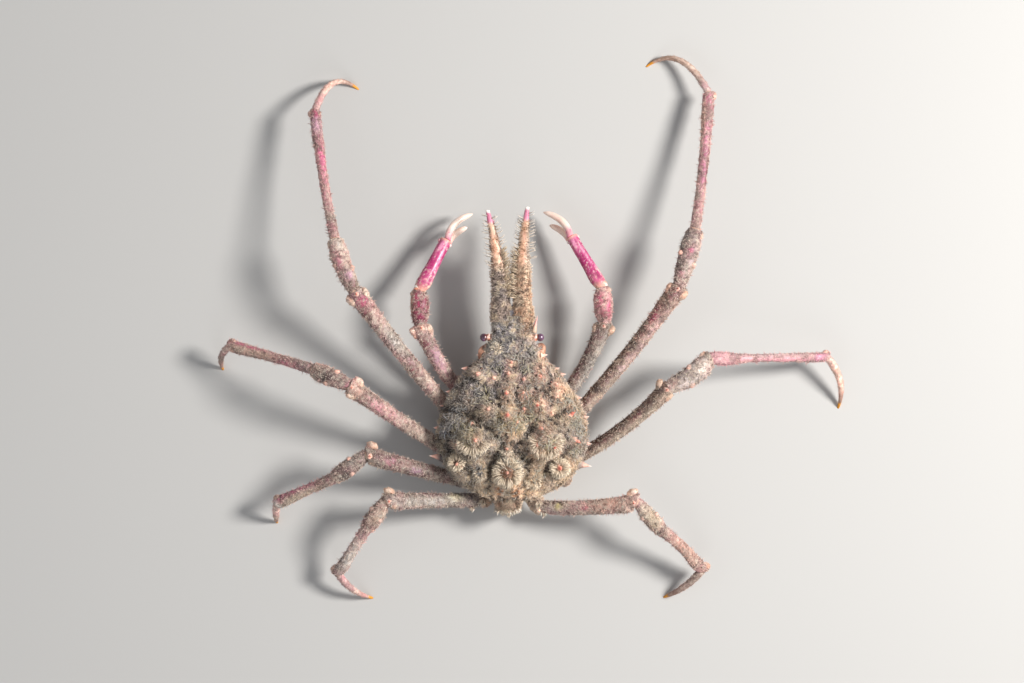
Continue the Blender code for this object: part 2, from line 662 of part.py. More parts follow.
def build_tail():
    """The tail runs back from the shell, turns under in a half circle and forward along the floor."""
    half = TAIL_THICKNESS / 2
    low = half
    middle = Vector((0, SHELL_REAR - GAP, (TAIL_START_HEIGHT + low) / 2))
    drop = (TAIL_START_HEIGHT - low) / 2
    path = []
    for k in range(9):
        turn = math.pi / 2 + math.pi * k / 8
        back = math.cos(turn) * TAIL_REACH
        path.append((middle + Vector((0, back, math.sin(turn) * drop)), turn))
    for y in (-12, -8, -4, 0, TAIL_END - 1.2, TAIL_END):
        path.append((Vector((0, y, low)), math.pi * 1.5))
    rings = []
    for k, (centre, turn) in enumerate(path):
        out = Vector((0, math.cos(turn), math.sin(turn)))
        wide = TAIL_HALF_WIDTH * (1 - 0.22 * blend(9, 14, k)) * (0.5 if k == len(path) - 1 else 1)
        corners = ((1, 0), (0.78, 1), (-0.78, 1), (-1, 0), (-0.78, -1), (0.78, -1))
        rings.append([centre + Vector((TAIL_CENTRE + wide * a, 0, 0)) + out * half * b for a, b in corners])
    place("abdomen", loft(rings), PALE_BELLY, 0.7)


def horn_centre(horn, t):
    x = horn.start + horn.drift * t + horn.sweep * t * t
    return Vector((x, SHELL_FRONT + GAP + horn.length * t, HORN_HEIGHT))


def horn_girth(t):
    """Half the horn's width at a part of its length."""
    for (near, wide), (far, thin) in zip(HORN_PROFILE, HORN_PROFILE[1:]):
        if t <= far:
            return HORN_GIRTH * (wide + (thin - wide) * (t - near) / (far - near))
    return HORN_GIRTH * HORN_PROFILE[-1][1]


def horn_bristles(horn):
    """Hooked bristles along both sides of a horn, kept on its own side of the gap between the two."""
    ahead = Vector((0, 1, 0))
    for k in range(BRISTLES):
        t = 0.07 + 0.86 * k / (BRISTLES - 1)
        centre = horn_centre(horn, t)
        girth = horn_girth(t)
        for side in (-1, 1):
            tilt = math.radians(BRISTLE_TILT if (k + side) % 4 < 2 else -BRISTLE_TILT)
            out = Vector((side * math.cos(tilt), 0, math.sin(tilt)))
            lead = math.radians(BRISTLE_AHEAD)
            aim = out * math.cos(lead) + ahead * math.sin(lead)
            length = BRISTLE_LENGTH * (1 - 0.45 * t * t)
            if side * horn.start < 0:
                room = abs(centre.x - HORN_MIDLINE) - girth - GAP
                length = min(length, room / 0.8)
            root = centre + Vector((out.x * girth * 0.92, 0, out.z * girth * HORN_SQUASH * 0.92))
            yield lock(root, aim, ahead - out * 0.15, length, BRISTLE_GIRTH * (1 - 0.35 * t))


def build_horn(horn):
    rings = []
    for t, swell in HORN_PROFILE:
        x, y = horn_centre(horn, t).xy
        ring = []
        for k in range(LIMB_SIDES):
            angle = TAU * (k + 0.5) / LIMB_SIDES
            out = HORN_GIRTH * swell
            ring.append(Vector((x + out * math.cos(angle), y,
                                HORN_HEIGHT + out * HORN_SQUASH * math.sin(angle))))
        rings.append(ring)
    pieces = list(horn_bristles(horn))
    if horn.start < 0:
        root = horn_centre(horn, SPINULE_AT)
        pieces.append(spike(root, (-1, 0.5, 0.2), 1.3, 0.3, 5))
    fused("rostral_spine_" + horn.side, loft(rings), pieces, PINK_HORN)


def build_eye(side, sign):
    root = Vector((sign * STALK_FROM, EYE_Y, EYE_HEIGHT))
    end = root + Vector((sign * STALK_LENGTH, 0, 0))
    along = Vector((sign, 0, 0))
    bend = (root, (root + end) / 2, end)
    profile = ((0, 1), (0.5, 1.08), (1, 1))
    place("eyestalk_" + side, tube(bend, (along, along), profile, STALK_GIRTH, TIP_SIDES, 1), CORAL)
    rings = []
    for turn in (35, 60, 90, 120, 145, 166):
        reach = math.radians(turn)
        centre = end + along * (GAP + CORNEA_RADIUS * (math.cos(math.radians(35)) - math.cos(reach)))
        out = CORNEA_RADIUS * math.sin(reach)
        rings.append([centre + Vector((0, out * math.cos(TAU * k / 10), out * math.sin(TAU * k / 10)))
                      for k in range(10)])
    place("cornea_" + side, loft(rings), DARK_EYE, 0.15)


def build_feeler(side, sign):
    start = Vector((sign * FEELER_X, FEELER_FROM, FEELER_HEIGHT))
    end = start + Vector((-sign * 0.4, FEELER_LENGTH, 0.6))
    along = (end - start).normalized()
    bend = (start, (start + end) / 2, end)
    profile = ((0, 1.3), (0.25, 1.4), (0.35, 0.8), (0.7, 0.6), (1, 0.4))
    place("antenna_" + side, tube(bend, (along, along), profile, FEELER_GIRTH, 6, 1), PINK_HORN)


def build_mouthpart(side, sign):
    """A flat plate that lies along the sloping underside in front of the chest groove."""
    rings = []
    rise = (MOUTH_HEIGHT - GROOVE_HEIGHT) / (CHEST_FRONT - MOUTH_FROM)
    for y, wide in ((MOUTH_FROM, 0.62), (MOUTH_FROM + 1.5, 0.9), (11.5, 1), (15, 0.8), (MOUTH_TO, 0.45)):
        top = GROOVE_HEIGHT + rise * (y - MOUTH_FROM) - 0.5
        inner = sign * 0.2
        outer = sign * (0.2 + MOUTH_HALF_WIDTH * wide)
        edge = sign * (0.2 + MOUTH_HALF_WIDTH * wide * 0.8)
        rings.append([Vector((inner, y, top)), Vector((outer, y, top)),
                      Vector((edge, y, top - MOUTH_THICKNESS)), Vector((inner, y, top - MOUTH_THICKNESS))])
    place("maxilliped_" + side, loft(rings), PALE_BELLY)


def end_knobs(bend, plane, girth, kind):
    """Two knobs beside the joint at a piece's far end, which stop short of the plane that ends it."""
    along = bend_along(*bend, 1)
    side = left_of(along)
    side = (side - plane * side.dot(plane)).normalized()
    radius = girth * KNOB_PART[kind]
    for sign in (-1, 1):
        yield knob(bend[2] + side * sign * girth * KNOB_OUT[kind] - plane * (radius + GAP * 0.6), radius)


def end_thorn(bend, plane, girth):
    """The small spine above a joint."""
    along = bend_along(*bend, 1)
    over = along.cross(left_of(along))
    root = bend[2] + over * girth * 0.78 - along * (over.dot(plane) / along.dot(plane) * girth * 0.78 + 0.75)
    return spike(root, over + along * 0.4, THORN_LENGTH, THORN_GIRTH, 5)


def bump(bend, t, turn, girth):
    """A low round knob part of the way along a piece."""
    along = bend_along(*bend, t)
    side = left_of(along)
    over = along.cross(side)
    angle = math.radians(turn)
    out = side * math.cos(angle) + over * math.sin(angle)
    return knob(bend_point(*bend, t) + out * girth * 0.8, girth * BUMP_PART)


def build_leg(leg):
    merus = run_bend(Vector(leg.root), leg.merus)
    carpus = run_bend(merus[2], leg.carpus)
    propodus = run_bend(carpus[2], leg.propodus)
    tip = tip_bend(propodus[2], leg.tip)
    bends = (merus, carpus, propodus, tip)
    planes = shared_planes(bends, bend_along(*merus, 0), -UP)
    kinds = (("merus", MERUS_PROFILE, leg.merus.girth), ("carpus", CARPUS_PROFILE, leg.carpus.girth),
             ("propodus", swollen(PROPODUS_PROFILE, leg.propodus), leg.propodus.girth))
    for (kind, profile, girth), bend, near, far in zip(kinds, bends, planes, planes[1:]):
        cut = shorten(bend, (near, far))
        end_girth = girth * profile[-1][1]
        pieces = list(end_knobs(bend, far, end_girth, kind))
        if kind == "merus":
            pieces.append(end_thorn(bend, far, end_girth))
        if kind == "carpus":
            pieces += [bump(bend, 0.55, 25, girth), bump(bend, 0.4, 160, girth)]
        fused(f"{leg.name}_{kind}", tube(cut, (near, far), profile, girth), pieces, LEG_PINK, 0.75)
    cut = shorten(tip, planes[3:], (1, 0))
    place(leg.name + "_dactylus", tube(cut, planes[3:], TIP_PROFILE, leg.tip.girth, TIP_SIDES, 1), LEG_TIP)


def finger(end_of_palm, along, out, shape):
    """A curved finger that leaves the palm's end and turns inward and down to its point."""
    root = end_of_palm + out * shape.out + along.cross(left_of(along)) * shape.rise
    turned = (along - out * math.tan(math.radians(shape.turn))).normalized()
    end = root + turned * shape.reach - UP * FINGER_FALL
    control = (root + end) / 2 + out * shape.bow
    bend = (root, control, end)
    return tube(bend, (along, bend_along(*bend, 1)), FINGER_PROFILE, FINGER_GIRTH, TIP_SIDES, 1)


def build_claw(claw):
    merus = run_bend(Vector(claw.root), claw.merus)
    carpus = run_bend(merus[2], claw.carpus)
    palm = run_bend(carpus[2], claw.palm)
    bends = (merus, carpus, palm)
    along = bend_along(*palm, 1)
    planes = shared_planes(bends, bend_along(*merus, 0), along)
    name = "claw_" + claw.side
    kinds = (("merus", MERUS_PROFILE, claw.merus.girth), ("carpus", BARREL_PROFILE, claw.carpus.girth))
    for (kind, profile, girth), bend, near, far in zip(kinds, bends, planes, planes[1:]):
        cut = shorten(bend, (near, far))
        end_girth = girth * profile[-1][1]
        pieces = list(end_knobs(bend, far, end_girth, kind))
        if kind == "merus":
            pieces.append(end_thorn(bend, far, end_girth))
        fused(f"{name}_{kind}", tube(cut, (near, far), profile, girth), pieces, CLAW_MAGENTA, 0.5)
    cut = shorten(palm, planes[2:], (1, 0))
    hand = tube(cut, planes[2:], PALM_PROFILE, claw.palm.girth)
    out = left_of(along) * claw.outward
    fixed = finger(palm[2] - along * FINGER_ROOT, along, out, FIXED_FINGER)
    collars = [knob(palm[2] + out * sign * claw.palm.girth * COLLAR_OUT - along * COLLAR_BACK, COLLAR_RADIUS)
               for sign in (-1, 1)]
    fused(name + "_palm", hand, [fixed] + collars, CLAW_MAGENTA, 0.35)
    free = finger(palm[2] + along * GAP, along, out, FREE_FINGER)
    place(name + "_finger", free, FINGER_CREAM, 0.35)


def build_stub():
    """What is left of the lost third right leg: a short rounded stump."""
    bend = run_bend(Vector(STUB_ROOT), STUB_RUN)
    plane = bend_along(*bend, 0)
    cut = shorten(bend, (plane, plane), (1, 0))
    profile = ((0, 0.85), (0.3, 1), (0.65, 0.96), (0.88, 0.7), (1, 0.35))
    place("leg_3_right_stub", tube(cut, (plane, plane), profile, STUB_RUN.girth), CORAL)


clear_scene()
MODEL = bpy.data.collections.new("spider_crab")
bpy.context.scene.collection.children.link(MODEL)
build_shell()
build_chest()
build_tail()
for one_horn in HORNS:
    build_horn(one_horn)
for one_side, one_sign in (("left", -1), ("right", 1)):
    build_eye(one_side, one_sign)
    build_feeler(one_side, one_sign)
    build_mouthpart(one_side, one_sign)
for one_claw in CLAWS:
    build_claw(one_claw)
for one_leg in LEGS:
    build_leg(one_leg)
build_stub()
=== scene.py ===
"""The looks of a long-snouted spider crab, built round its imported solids.

The shell, limbs and tail are rebuilt as fine skins from the same named sizes as the solids, with their
granules, knobs and spines. A coat of velvet and hooked bristles, all solid mesh, stands on the skins
and takes its colours from the same functions. Sizes are in millimetres until each mesh is made.
"""

import math
from collections import namedtuple

import bpy
import numpy as np
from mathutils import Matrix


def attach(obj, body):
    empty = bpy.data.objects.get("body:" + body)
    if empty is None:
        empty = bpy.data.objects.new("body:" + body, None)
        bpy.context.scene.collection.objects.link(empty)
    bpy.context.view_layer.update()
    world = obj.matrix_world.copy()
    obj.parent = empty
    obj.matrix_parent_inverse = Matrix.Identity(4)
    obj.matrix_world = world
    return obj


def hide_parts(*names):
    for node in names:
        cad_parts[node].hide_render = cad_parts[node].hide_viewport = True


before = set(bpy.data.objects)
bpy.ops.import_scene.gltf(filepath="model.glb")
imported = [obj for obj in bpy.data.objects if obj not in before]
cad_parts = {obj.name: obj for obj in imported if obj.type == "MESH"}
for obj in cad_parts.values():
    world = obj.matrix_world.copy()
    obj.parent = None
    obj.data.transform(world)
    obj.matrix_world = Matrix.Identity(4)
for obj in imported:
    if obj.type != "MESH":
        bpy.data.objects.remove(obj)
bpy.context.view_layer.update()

MM = 0.001
GAP = 0.3
TAU = 2 * math.pi
UP = np.array((0.0, 0.0, 1.0))
RANDOM = np.random.default_rng(41)


def table(kind, *rows):
    """Rows of plain values as named rows of one kind."""
    return tuple(kind(*row) for row in rows)


# Shell, as in the solids.
SHELL_REAR = -15.6
SHELL_FRONT = 29.6
SHELL_HALF_WIDTH = 18.6
WIDEST_AT = -0.5
REAR_REACH = 15.6
FRONT_REACH = 20.0
NECK_HALF_WIDTH = 5.3
NECK_FROM = 24.3
CHEEK_SPREAD = 7.2
CHEEK_REACH = 9.3
EDGE_HEIGHT = 12.0
NECK_EDGE_HEIGHT = 14.3
CREST_HEIGHT = 16.2
CREST_SWELL = 4.2
CREST_AT = 4.0
CREST_REACH = 11.0
REAR_FALL = 3.8
BELLY_HEIGHT = 9.5
NECK_BELLY_HEIGHT = 12.4
SHELL_ROWS = 190
SHELL_TOP_COLUMNS = 150
SHELL_COLUMNS = 172
COAT_DEPTH = 0.3
DOME_POWER = 2.6
RIM_PART = 0.98
TONGUE_RADII = (1.5, 3.3, 1.0)

# Bosses and furrows of the shell: place across, place along, height and spread.
Boss = namedtuple("Boss", "x y height spread")
BOSSES = table(
    Boss,
    (8.5, -1.3, 3.2, 3.8), (-9.8, -1.3, 3.2, 4.0), (-13.6, -6.8, 1.8, 2.6), (12.0, -8.2, 2.0, 2.7),
    (-1.2, -9.5, 2.6, 3.8), (-1.2, -3.8, 1.5, 2.3), (-1.1, 5.4, 1.6, 2.6), (-1.4, 10.8, 1.2, 2.2),
    (6.5, 7.7, 1.5, 2.4), (-5.9, 6.9, 1.3, 2.4), (-8.5, 15.3, 1.0, 2.2), (10.9, 12.8, 1.1, 2.2),
    (-6.0, 2.2, -1.2, 2.0), (5.4, 2.4, -1.2, 2.0), (-5.2, -6.0, -1.1, 2.0), (4.4, -5.6, -1.1, 2.0),
    (-10.5, 5.0, -0.8, 2.2), (11.0, 4.6, -0.8, 2.2), (-4.0, 14.5, -0.6, 2.4), (3.8, 14.8, -0.6, 2.4),
)

# Grooves between the regions of the shell: depth, half width and the places that they pass.
Groove = namedtuple("Groove", "depth width path")
GROOVES = table(
    Groove,
    (1.0, 1.1, ((-17.4, 6.6), (-10.6, 5.0), (-5.5, 1.9), (-2.4, -1.7))),
    (0.9, 1.0, ((14.0, 6.4), (6.4, 3.5), (3.3, 0.3), (0.7, -2.8))),
    (1.0, 1.1, ((-2.5, -2.7), (-4.4, -5.9), (-5.5, -8.4), (-5.5, -12.6))),
    (0.9, 1.0, ((0.7, -3.2), (3.8, -5.9), (3.6, -9.0), (3.0, -12.4))),
    (1.1, 1.2, ((-18.4, -0.2), (-14.3, -4.3), (-10.1, -8.9))),
    (0.9, 1.1, ((14.6, -3.4), (10.6, -5.9), (8.5, -8.9))),
    (0.7, 1.0, ((-11.4, 14.9), (-7.0, 12.8), (-5.5, 8.6))),
    (0.6, 1.0, ((11.1, 14.9), (8.5, 12.3), (9.8, 9.2))), (0.6, 0.8, ((-5.5, -12.8), (-5.2, -15.6))),
    (0.6, 0.8, ((3.2, -12.6), (3.4, -15.6))), (0.4, 0.8, ((-3.6, 12.4), (-3.4, 7.6), (-2.8, 3.4))),
    (0.4, 0.8, ((1.4, 12.4), (1.2, 8.6), (3.8, 5.2))),
)
MOUND_SPREAD = 1.5
MOUND_HEIGHT = 0.75
TUBERCLE_HALO = 1.4
SHELL_VIVID = 1.12
REAR_PITS = ((-3.0, -13.4), (0.9, -13.9))

# Tubercles and spines of the shell: place, direction, length and girth.
Spine = namedtuple("Spine", "x y aim length girth")
Tubercle = namedtuple("Tubercle", "x y aim length girth glow")
TUBERCLES = table(
    Tubercle,
    (-1.1, 5.4, (0, 0, 1), 1.1, 0.5, 0.95), (-1.4, 10.8, (0, 0, 1), 0.9, 0.45, 0.85),
    (-0.9, 15.7, (0, 0.2, 1), 0.7, 0.5, 0.3), (-0.1, 18.2, (0, 0.2, 1), 0.6, 0.45, 0.6),
    (-4.5, 14.5, (-0.2, 0.2, 1), 0.8, 0.55, 0.3), (2.8, 10.8, (0.1, 0.2, 1), 0.8, 0.5, 0.5),
    (9.8, 5.7, (0.2, 0.1, 1), 0.8, 0.5, 0.3), (2.9, 14.2, (0.1, 0.2, 1), 0.7, 0.5, 0.3),
    (7.0, 14.9, (0.3, 0.2, 1), 0.7, 0.5, 0.5), (-8.5, 15.5, (-0.4, 0.2, 1), 0.8, 0.55, 0.3),
    (10.9, 12.8, (0.4, 0.2, 1), 0.9, 0.6, 0.3), (2.9, 6.9, (0.1, 0, 1), 0.8, 0.5, 0.3),
    (6.2, 7.8, (0.2, 0, 1), 1.0, 0.45, 0.9), (-5.9, 6.9, (-0.2, 0, 1), 0.8, 0.4, 0.1),
    (1.3, 3.6, (0, -0.1, 1), 0.7, 0.45, 0.3), (7.1, 2.1, (0.1, 0.1, 1), 1.0, 0.5, 0.5),
    (6.1, -2.1, (0, -0.1, 1), 0.8, 0.5, 0.3), (10.5, -2.6, (0.2, -0.2, 1), 0.9, 0.5, 0.9),
    (-9.0, -0.8, (0, 0, 1), 1.0, 0.42, 0.5), (-9.9, 3.3, (-0.2, 0.2, 1), 0.8, 0.5, 0.3),
    (-13.5, -1.8, (-0.4, 0, 1), 0.9, 0.55, 0.3), (-1.4, -2.9, (0, 0, 1), 0.9, 0.42, 0.4),
    (-1.2, -8.9, (0, -0.2, 1), 0.9, 0.36, 0.4), (11.8, -7.8, (0.2, -0.1, 1), 1.0, 0.5, 0.9),
    (-13.6, -6.8, (-0.3, -0.2, 1), 1.1, 0.36, 0.2), (14.6, 5.6, (0.6, 0.4, 0.7), 1.4, 0.6, 0.9),
    (16.0, -1.0, (0.7, -0.4, 0.6), 1.4, 0.6, 0.6),
)
EdgeSpine = namedtuple("EdgeSpine", "y side aim length girth")
EDGE_SPINES = table(
    EdgeSpine,
    (16.6, -1, (-1, 0.1, 0.15), 1.9, 0.8), (10.9, -1, (-1, 0.1, 0.2), 1.4, 0.6),
    (7.4, -1, (-1, 0.2, 0.2), 1.1, 0.5), (2.0, -1, (-1, 0.1, 0.2), 1.2, 0.6),
    (-5.1, -1, (-1, 0.1, 0.2), 3.0, 0.9), (16.6, 1, (1, 0.3, 0.15), 1.1, 0.5),
    (15.2, 1, (1, 0.1, 0.15), 1.3, 0.6), (9.4, 1, (1, 0.1, 0.2), 1.4, 0.6),
    (4.7, 1, (1, 0.1, 0.2), 1.3, 0.6), (-1.8, 1, (1, -0.1, 0.2), 1.4, 0.6),
    (-7.0, 1, (1, -0.15, 0.2), 3.0, 0.9), (20.0, -1, (-1, 0.1, 0), 1.0, 0.7),
    (20.0, 1, (1, 0.1, 0), 1.0, 0.7),
)
BROW_SPINE = Spine(5.5, 26.3, (0.24, 1, 0.1), 3.6, 0.5)
SPINE_ROOT = 0.7

# Rosettes: rings or arcs of thick bristles round a boss: place, inner and outer radius, first and
# last angle, and how far the bristles stand up.
Rosette = namedtuple("Rosette", "x y inner outer first last rise")
ROSETTES = table(
    Rosette,
    (-1.2, -8.9, 1.7, 4.0, 0, 360, 0.55), (-13.8, -6.4, 0.7, 2.4, 0, 360, 0.5),
    (11.8, -7.8, 0.9, 2.8, 0, 360, 0.55), (8.2, -1.4, 2.7, 4.3, 165, 395, 1.2),
    (-9.6, -0.6, 2.6, 4.3, 190, 350, 1.1), (5.0, -10.9, 1.2, 2.4, 180, 400, 0.9),
    (-7.9, -9.2, 0.8, 1.9, 150, 400, 0.9), (-1.4, -2.9, 0.9, 1.8, 200, 340, 0.9),
    (-3.9, 21.6, 0.5, 1.5, 0, 350, 1.3),
)
FULL_ROSETTES = ROSETTES[:3]
# Rings of a rosette: place across its band, and how far the bristles stand up.
ROSETTE_RINGS = ((0.0, 1.4), (0.12, 1.1), (0.25, 0.8), (0.4, 0.6), (0.55, 0.5), (0.7, 0.4))

# Clumps of hooked bristles: place, spread, number and how yellow they are.
Clump = namedtuple("Clump", "x y spread count yellow")
CLUMPS = table(
    Clump,
    (-6.7, 9.4, 1.6, 34, 0.8), (-12.4, 0.8, 1.8, 40, 0.4), (-11.6, -0.6, 1.6, 34, 0.9),
    (4.6, 7.4, 1.8, 36, 0.7), (9.4, -2.0, 1.5, 44, 0.8), (-3.4, 17.0, 1.5, 26, 0.5),
    (-6.0, 20.0, 1.4, 30, 0.3), (3.4, 16.4, 1.4, 22, 0.6), (3.4, 11.0, 1.4, 20, 0.4),
    (-8.2, 12.0, 1.4, 22, 0.3), (13.2, 9.0, 1.5, 32, 0.5), (14.9, 6.0, 1.4, 44, 0.45),
    (15.9, 3.6, 1.3, 54, 0.5), (16.5, 1.2, 1.3, 54, 0.4), (16.6, -1.4, 1.3, 50, 0.4),
    (15.4, -3.8, 1.4, 50, 0.6), (-15.2, 3.2, 1.8, 54, 0.1), (-16.8, 1.4, 1.4, 44, 0.05),
    (-12.6, 5.6, 1.9, 54, 0.15), (-10.6, 1.6, 1.5, 40, 0.8), (0.8, -6.6, 1.5, 32, 0.5),
    (-2.4, -5.6, 1.3, 34, 0.4), (1.4, 19.6, 1.4, 26, 0.3), (-5.0, 22.0, 1.5, 46, 0.4),
    (5.0, 20.4, 1.4, 30, 0.4), (5.6, 4.4, 1.5, 34, 0.8), (-3.2, 2.0, 1.6, 34, 0.6),
    (1.6, 3.0, 1.8, 44, 0.7), (6.4, -9.6, 1.3, 26, 0.6), (-8.6, -8.4, 1.5, 32, 0.2),
)

# Underside.
CHEST_REAR = -15.0
CHEST_FRONT = 17.0
CHEST_TOP = BELLY_HEIGHT - GAP
CHEST_HALF_WIDTH = 9.4
GROOVE_HALF_WIDTH = 3.6
GROOVE_HEIGHT = 2.1
RIDGE_HEIGHT = 0.9
MOUTH_HEIGHT = 6.0
CHEST_ROWS = 120
CHEST_SEAMS = (-10.5, -6.2, -1.6, 3.2)
SEAM_WIDTH = 0.22
# First pieces of the limbs.
COXA_GIRTH = 1.75
COXA_PROFILE = ((0, 0.95), (0.35, 1.08), (0.6, 1.1), (0.66, 0.94), (0.7, 1.08), (0.9, 1.04), (1, 0.9))
# Tufts beside the legs' roots: place and direction.
ROOT_TUFTS = (((-9.9, -17.4, 6.4), (-0.3, -1, 0.3)), ((-7.2, -15.8, 8.0), (-0.2, -1, 0.6)),
              ((8.0, -18.9, 6.6), (0, -1, 0.3)), ((6.6, -16.6, 8.0), (0.1, -1, 0.6)))
# Tufts on the chest's rear, on both sides: distance from its middle line, and height.
REAR_TUFTS = ((3.8, 3.0), (4.6, 4.4), (4.0, 5.8), (4.8, 6.6), (3.2, 7.0), (4.4, 2.4))

# Tail.
TAIL_CENTRE = -0.9
TAIL_HALF_WIDTH = 3.1
TAIL_THICKNESS = 1.8
TAIL_END = 3.6
TAIL_REACH = 2.3
TAIL_START_HEIGHT = 11.0
# Seams between its segments, as lengths from its root, and the two pits and the tufts across its root.
TAIL_SEAMS = (4.2, 8.4, 12.6, 17.0, 21.5, 26.5)
TAIL_PITS = (-2.9, 0.9)
TAIL_COLUMNS = 48
TAIL_ROOT_TUFTS = np.linspace(-2.1, 2.1, 9)

# Rostral spines: side, sideways drift as a + b t + c t^2, and length.
Horn = namedtuple("Horn", "side start drift sweep length")
HORNS = (
    Horn("left", -2.75, 0.3, -3.6, 25.8),
    Horn("right", 2.8, -1.6, 2.6, 26.6),
)
HORN_HEIGHT = 14.3
HORN_GIRTH = 2.35
HORN_PROFILE = ((0, 1), (0.1, 0.9), (0.25, 0.81), (0.45, 0.71), (0.62, 0.54), (0.86, 0.34), (1, 0.21))
HORN_SQUASH = 0.8
HORN_INSIDE = -0.06
HORN_ROWS = 132
HORN_COLUMNS = 36
BRISTLE_LENGTH = 2.5
SPINULE_AT = 0.88
SPINULE_AIM = (-1, 0.5, 0.2)
SPINULE_LENGTH = 1.3
SPINULE_GIRTH = 0.3
# Places along a horn where groups of side bristles stand.
BRISTLE_ROWS = np.arange(0.36, 0.95, 0.028)

# Eyes.
EYE_Y = 24.4
EYE_HEIGHT = 14.4
STALK_FROM = 5.45
STALK_GIRTH = 0.8
STALK_LENGTH = 0.45
STALK_PROFILE = ((0, 0.9), (0.5, 1.15), (1, 1))
CORNEA_RADIUS = 1.0
ORBIT_FROM = 3.6
ORBIT_GIRTH = 0.95
# The bare cup behind each eye, and the hollow in it.
CUP_Y = 20.7
CUP_HEIGHT = 13.9
CUP_RADII = (1.75, 2.5, 1.3)
HOLLOW_X = 7.1
HOLLOW_Y = 22.0
# Feelers and mouth plates.
FEELER_X = 3.0
FEELER_FROM = 24.0
FEELER_HEIGHT = 11.0
FEELER_LENGTH = 11.0
FEELER_GIRTH = 0.6
FEELER_PROFILE = ((0, 1.3), (0.1, 1.5), (0.2, 1.3), (0.22, 1.05), (0.26, 1.25), (0.33, 1.2), (0.35, 0.75),
                  (0.7, 0.55), (1, 0.35))
MOUTH_FROM = 6.5
MOUTH_TO = 16.5
MOUTH_HALF_WIDTH = 3.2
MOUTH_THICKNESS = 1.2
MOUTH_PROFILE = ((MOUTH_FROM, 0.62), (MOUTH_FROM + 1.5, 0.9), (11.5, 1), (15, 0.8), (MOUTH_TO, 0.45))
MOUTH_ROWS = 60
MOUTH_COLUMNS = 36
MOUTH_SEAM = 12.2

# Stations of the chest: place along, half width and the height of its underside.
CHEST_STATIONS = (
    (CHEST_REAR, 5.3, RIDGE_HEIGHT + 0.5), (-12.5, 5.8, RIDGE_HEIGHT), (-6, 8.6, RIDGE_HEIGHT),
    (0, CHEST_HALF_WIDTH, RIDGE_HEIGHT), (TAIL_END, 9.2, RIDGE_HEIGHT),
    (TAIL_END + 0.8, 9.1, RIDGE_HEIGHT + 0.3), (MOUTH_FROM, 8.8, GROOVE_HEIGHT), (12, 7.6, 4.1),
    (CHEST_FRONT, 5.2, MOUTH_HEIGHT),
)

# Limbs: a run is a length, a heading from +X and a pitch above the floor.
Run = namedtuple("Run", "length heading pitch girth bow root_swell", defaults=(0, 1))
Tip = namedtuple("Tip", "reach heading girth bow skew lift")
Leg = namedtuple("Leg", "name root merus carpus propodus tip")
Claw = namedtuple("Claw", "side root merus carpus palm outward")
LEGS = (
    Leg("leg_1_left", (-14.0, 4.7, 6.5), Run(41.8, 128.4, 18.8, 2.05, 0.5), Run(13.6, 110.9, -4.2, 2.3, 0.4),
        Run(33.8, 99.4, -15.4, 1.38, 0.5), Tip(11.7, 31.8, 0.92, 7.6, 0.25, 1.5)),
    Leg("leg_1_right", (14.9, 4.2, 6.5), Run(43.1, 51.4, 12.7, 2.0, -0.9), Run(14.4, 73.9, -4.0, 2.4),
        Run(35.5, 83.8, -13.9, 1.45, -0.45), Tip(16.5, 153.8, 0.88, -8.6, 0.2, 2.0)),
    Leg("leg_2_left", (-14.9, -4.3, 6.5), Run(33.5, 145.9, 25.6, 2.0, 0.4), Run(9.8, 156.3, -8.8, 2.25),
        Run(24.0, 164.7, -24.6, 1.48, -0.2), Tip(6.3, -112.8, 0.85, -2.4, 0.1, 1.0)),
    Leg("leg_2_right", (15.2, -5.9, 6.5), Run(31.7, 37.8, 21.3, 1.9, -1.3), Run(12.4, 34.3, -4.6, 2.5, -0.8),
        Run(31.0, 0.6, -17.8, 1.24, 0, 1.62), Tip(12.9, -75.0, 0.96, 3.3, 0.05, 2.5)),
    Leg("leg_3_left", (-9.9, -11.5, 6.5), Run(29.1, 164.8, 23.3, 2.05, 0.3), Run(10.1, -144.7, -11.4, 2.1),
        Run(17.7, -155.7, -26.9, 1.55), Tip(5.1, -96.7, 0.95, -0.5, 0.1, 1.6)),
    Leg("leg_4_left", (-7.6, -16.0, 6.2), Run(25.0, 179.8, 20.6, 2.0), Run(8.8, -125.6, -13.1, 2.1),
        Run(15.1, -122.6, -27.6, 1.55), Tip(10.4, -38.8, 0.95, -2.1, 0.0, 2.0)),
    Leg("leg_4_right", (7.5, -17.7, 6.2), Run(24.9, 3.6, 20.7, 2.05, -0.7), Run(9.7, -48.2, -11.8, 2.0),
        Run(15.9, -45.2, -26.1, 1.62, 0.6), Tip(11.3, -142.0, 1.02, 1.5, 0.0, 2.0)),
)
CLAWS = (
    Claw("left", (-12.0, 10.1, 6.5), Run(21.1, 121.4, 15.1, 1.95, 1.0), Run(8.3, 91.8, -3.5, 2.4),
         Run(14.7, 62.9, -13.8, 1.72), 1),
    Claw("right", (13.3, 10.1, 6.5), Run(21.0, 61.9, 15.2, 1.95, -0.8), Run(8.7, 94.0, -3.3, 2.4),
         Run(15.1, 120.5, -13.4, 1.65), -1),
)
STUB_ROOT = (11.4, -10.2, 6.9)
STUB_RUN = Run(3.4, -10.0, 12.0, 2.1)
STUB_PROFILE = ((0, 0.85), (0.3, 1), (0.65, 0.96), (0.88, 0.7), (1, 0.35))
MERUS_PROFILE = ((0, 0.82), (0.1, 0.9), (0.3, 0.92), (0.55, 0.95), (0.78, 1.02), (0.92, 1.16), (1, 1.0))
CARPUS_PROFILE = ((0, 0.68), (0.22, 0.88), (0.48, 1.0), (0.75, 1.06), (1, 0.8))
PROPODUS_PROFILE = ((0, 0.98), (0.14, 0.92), (0.4, 0.88), (0.65, 0.94), (0.88, 1.1), (1, 0.98))
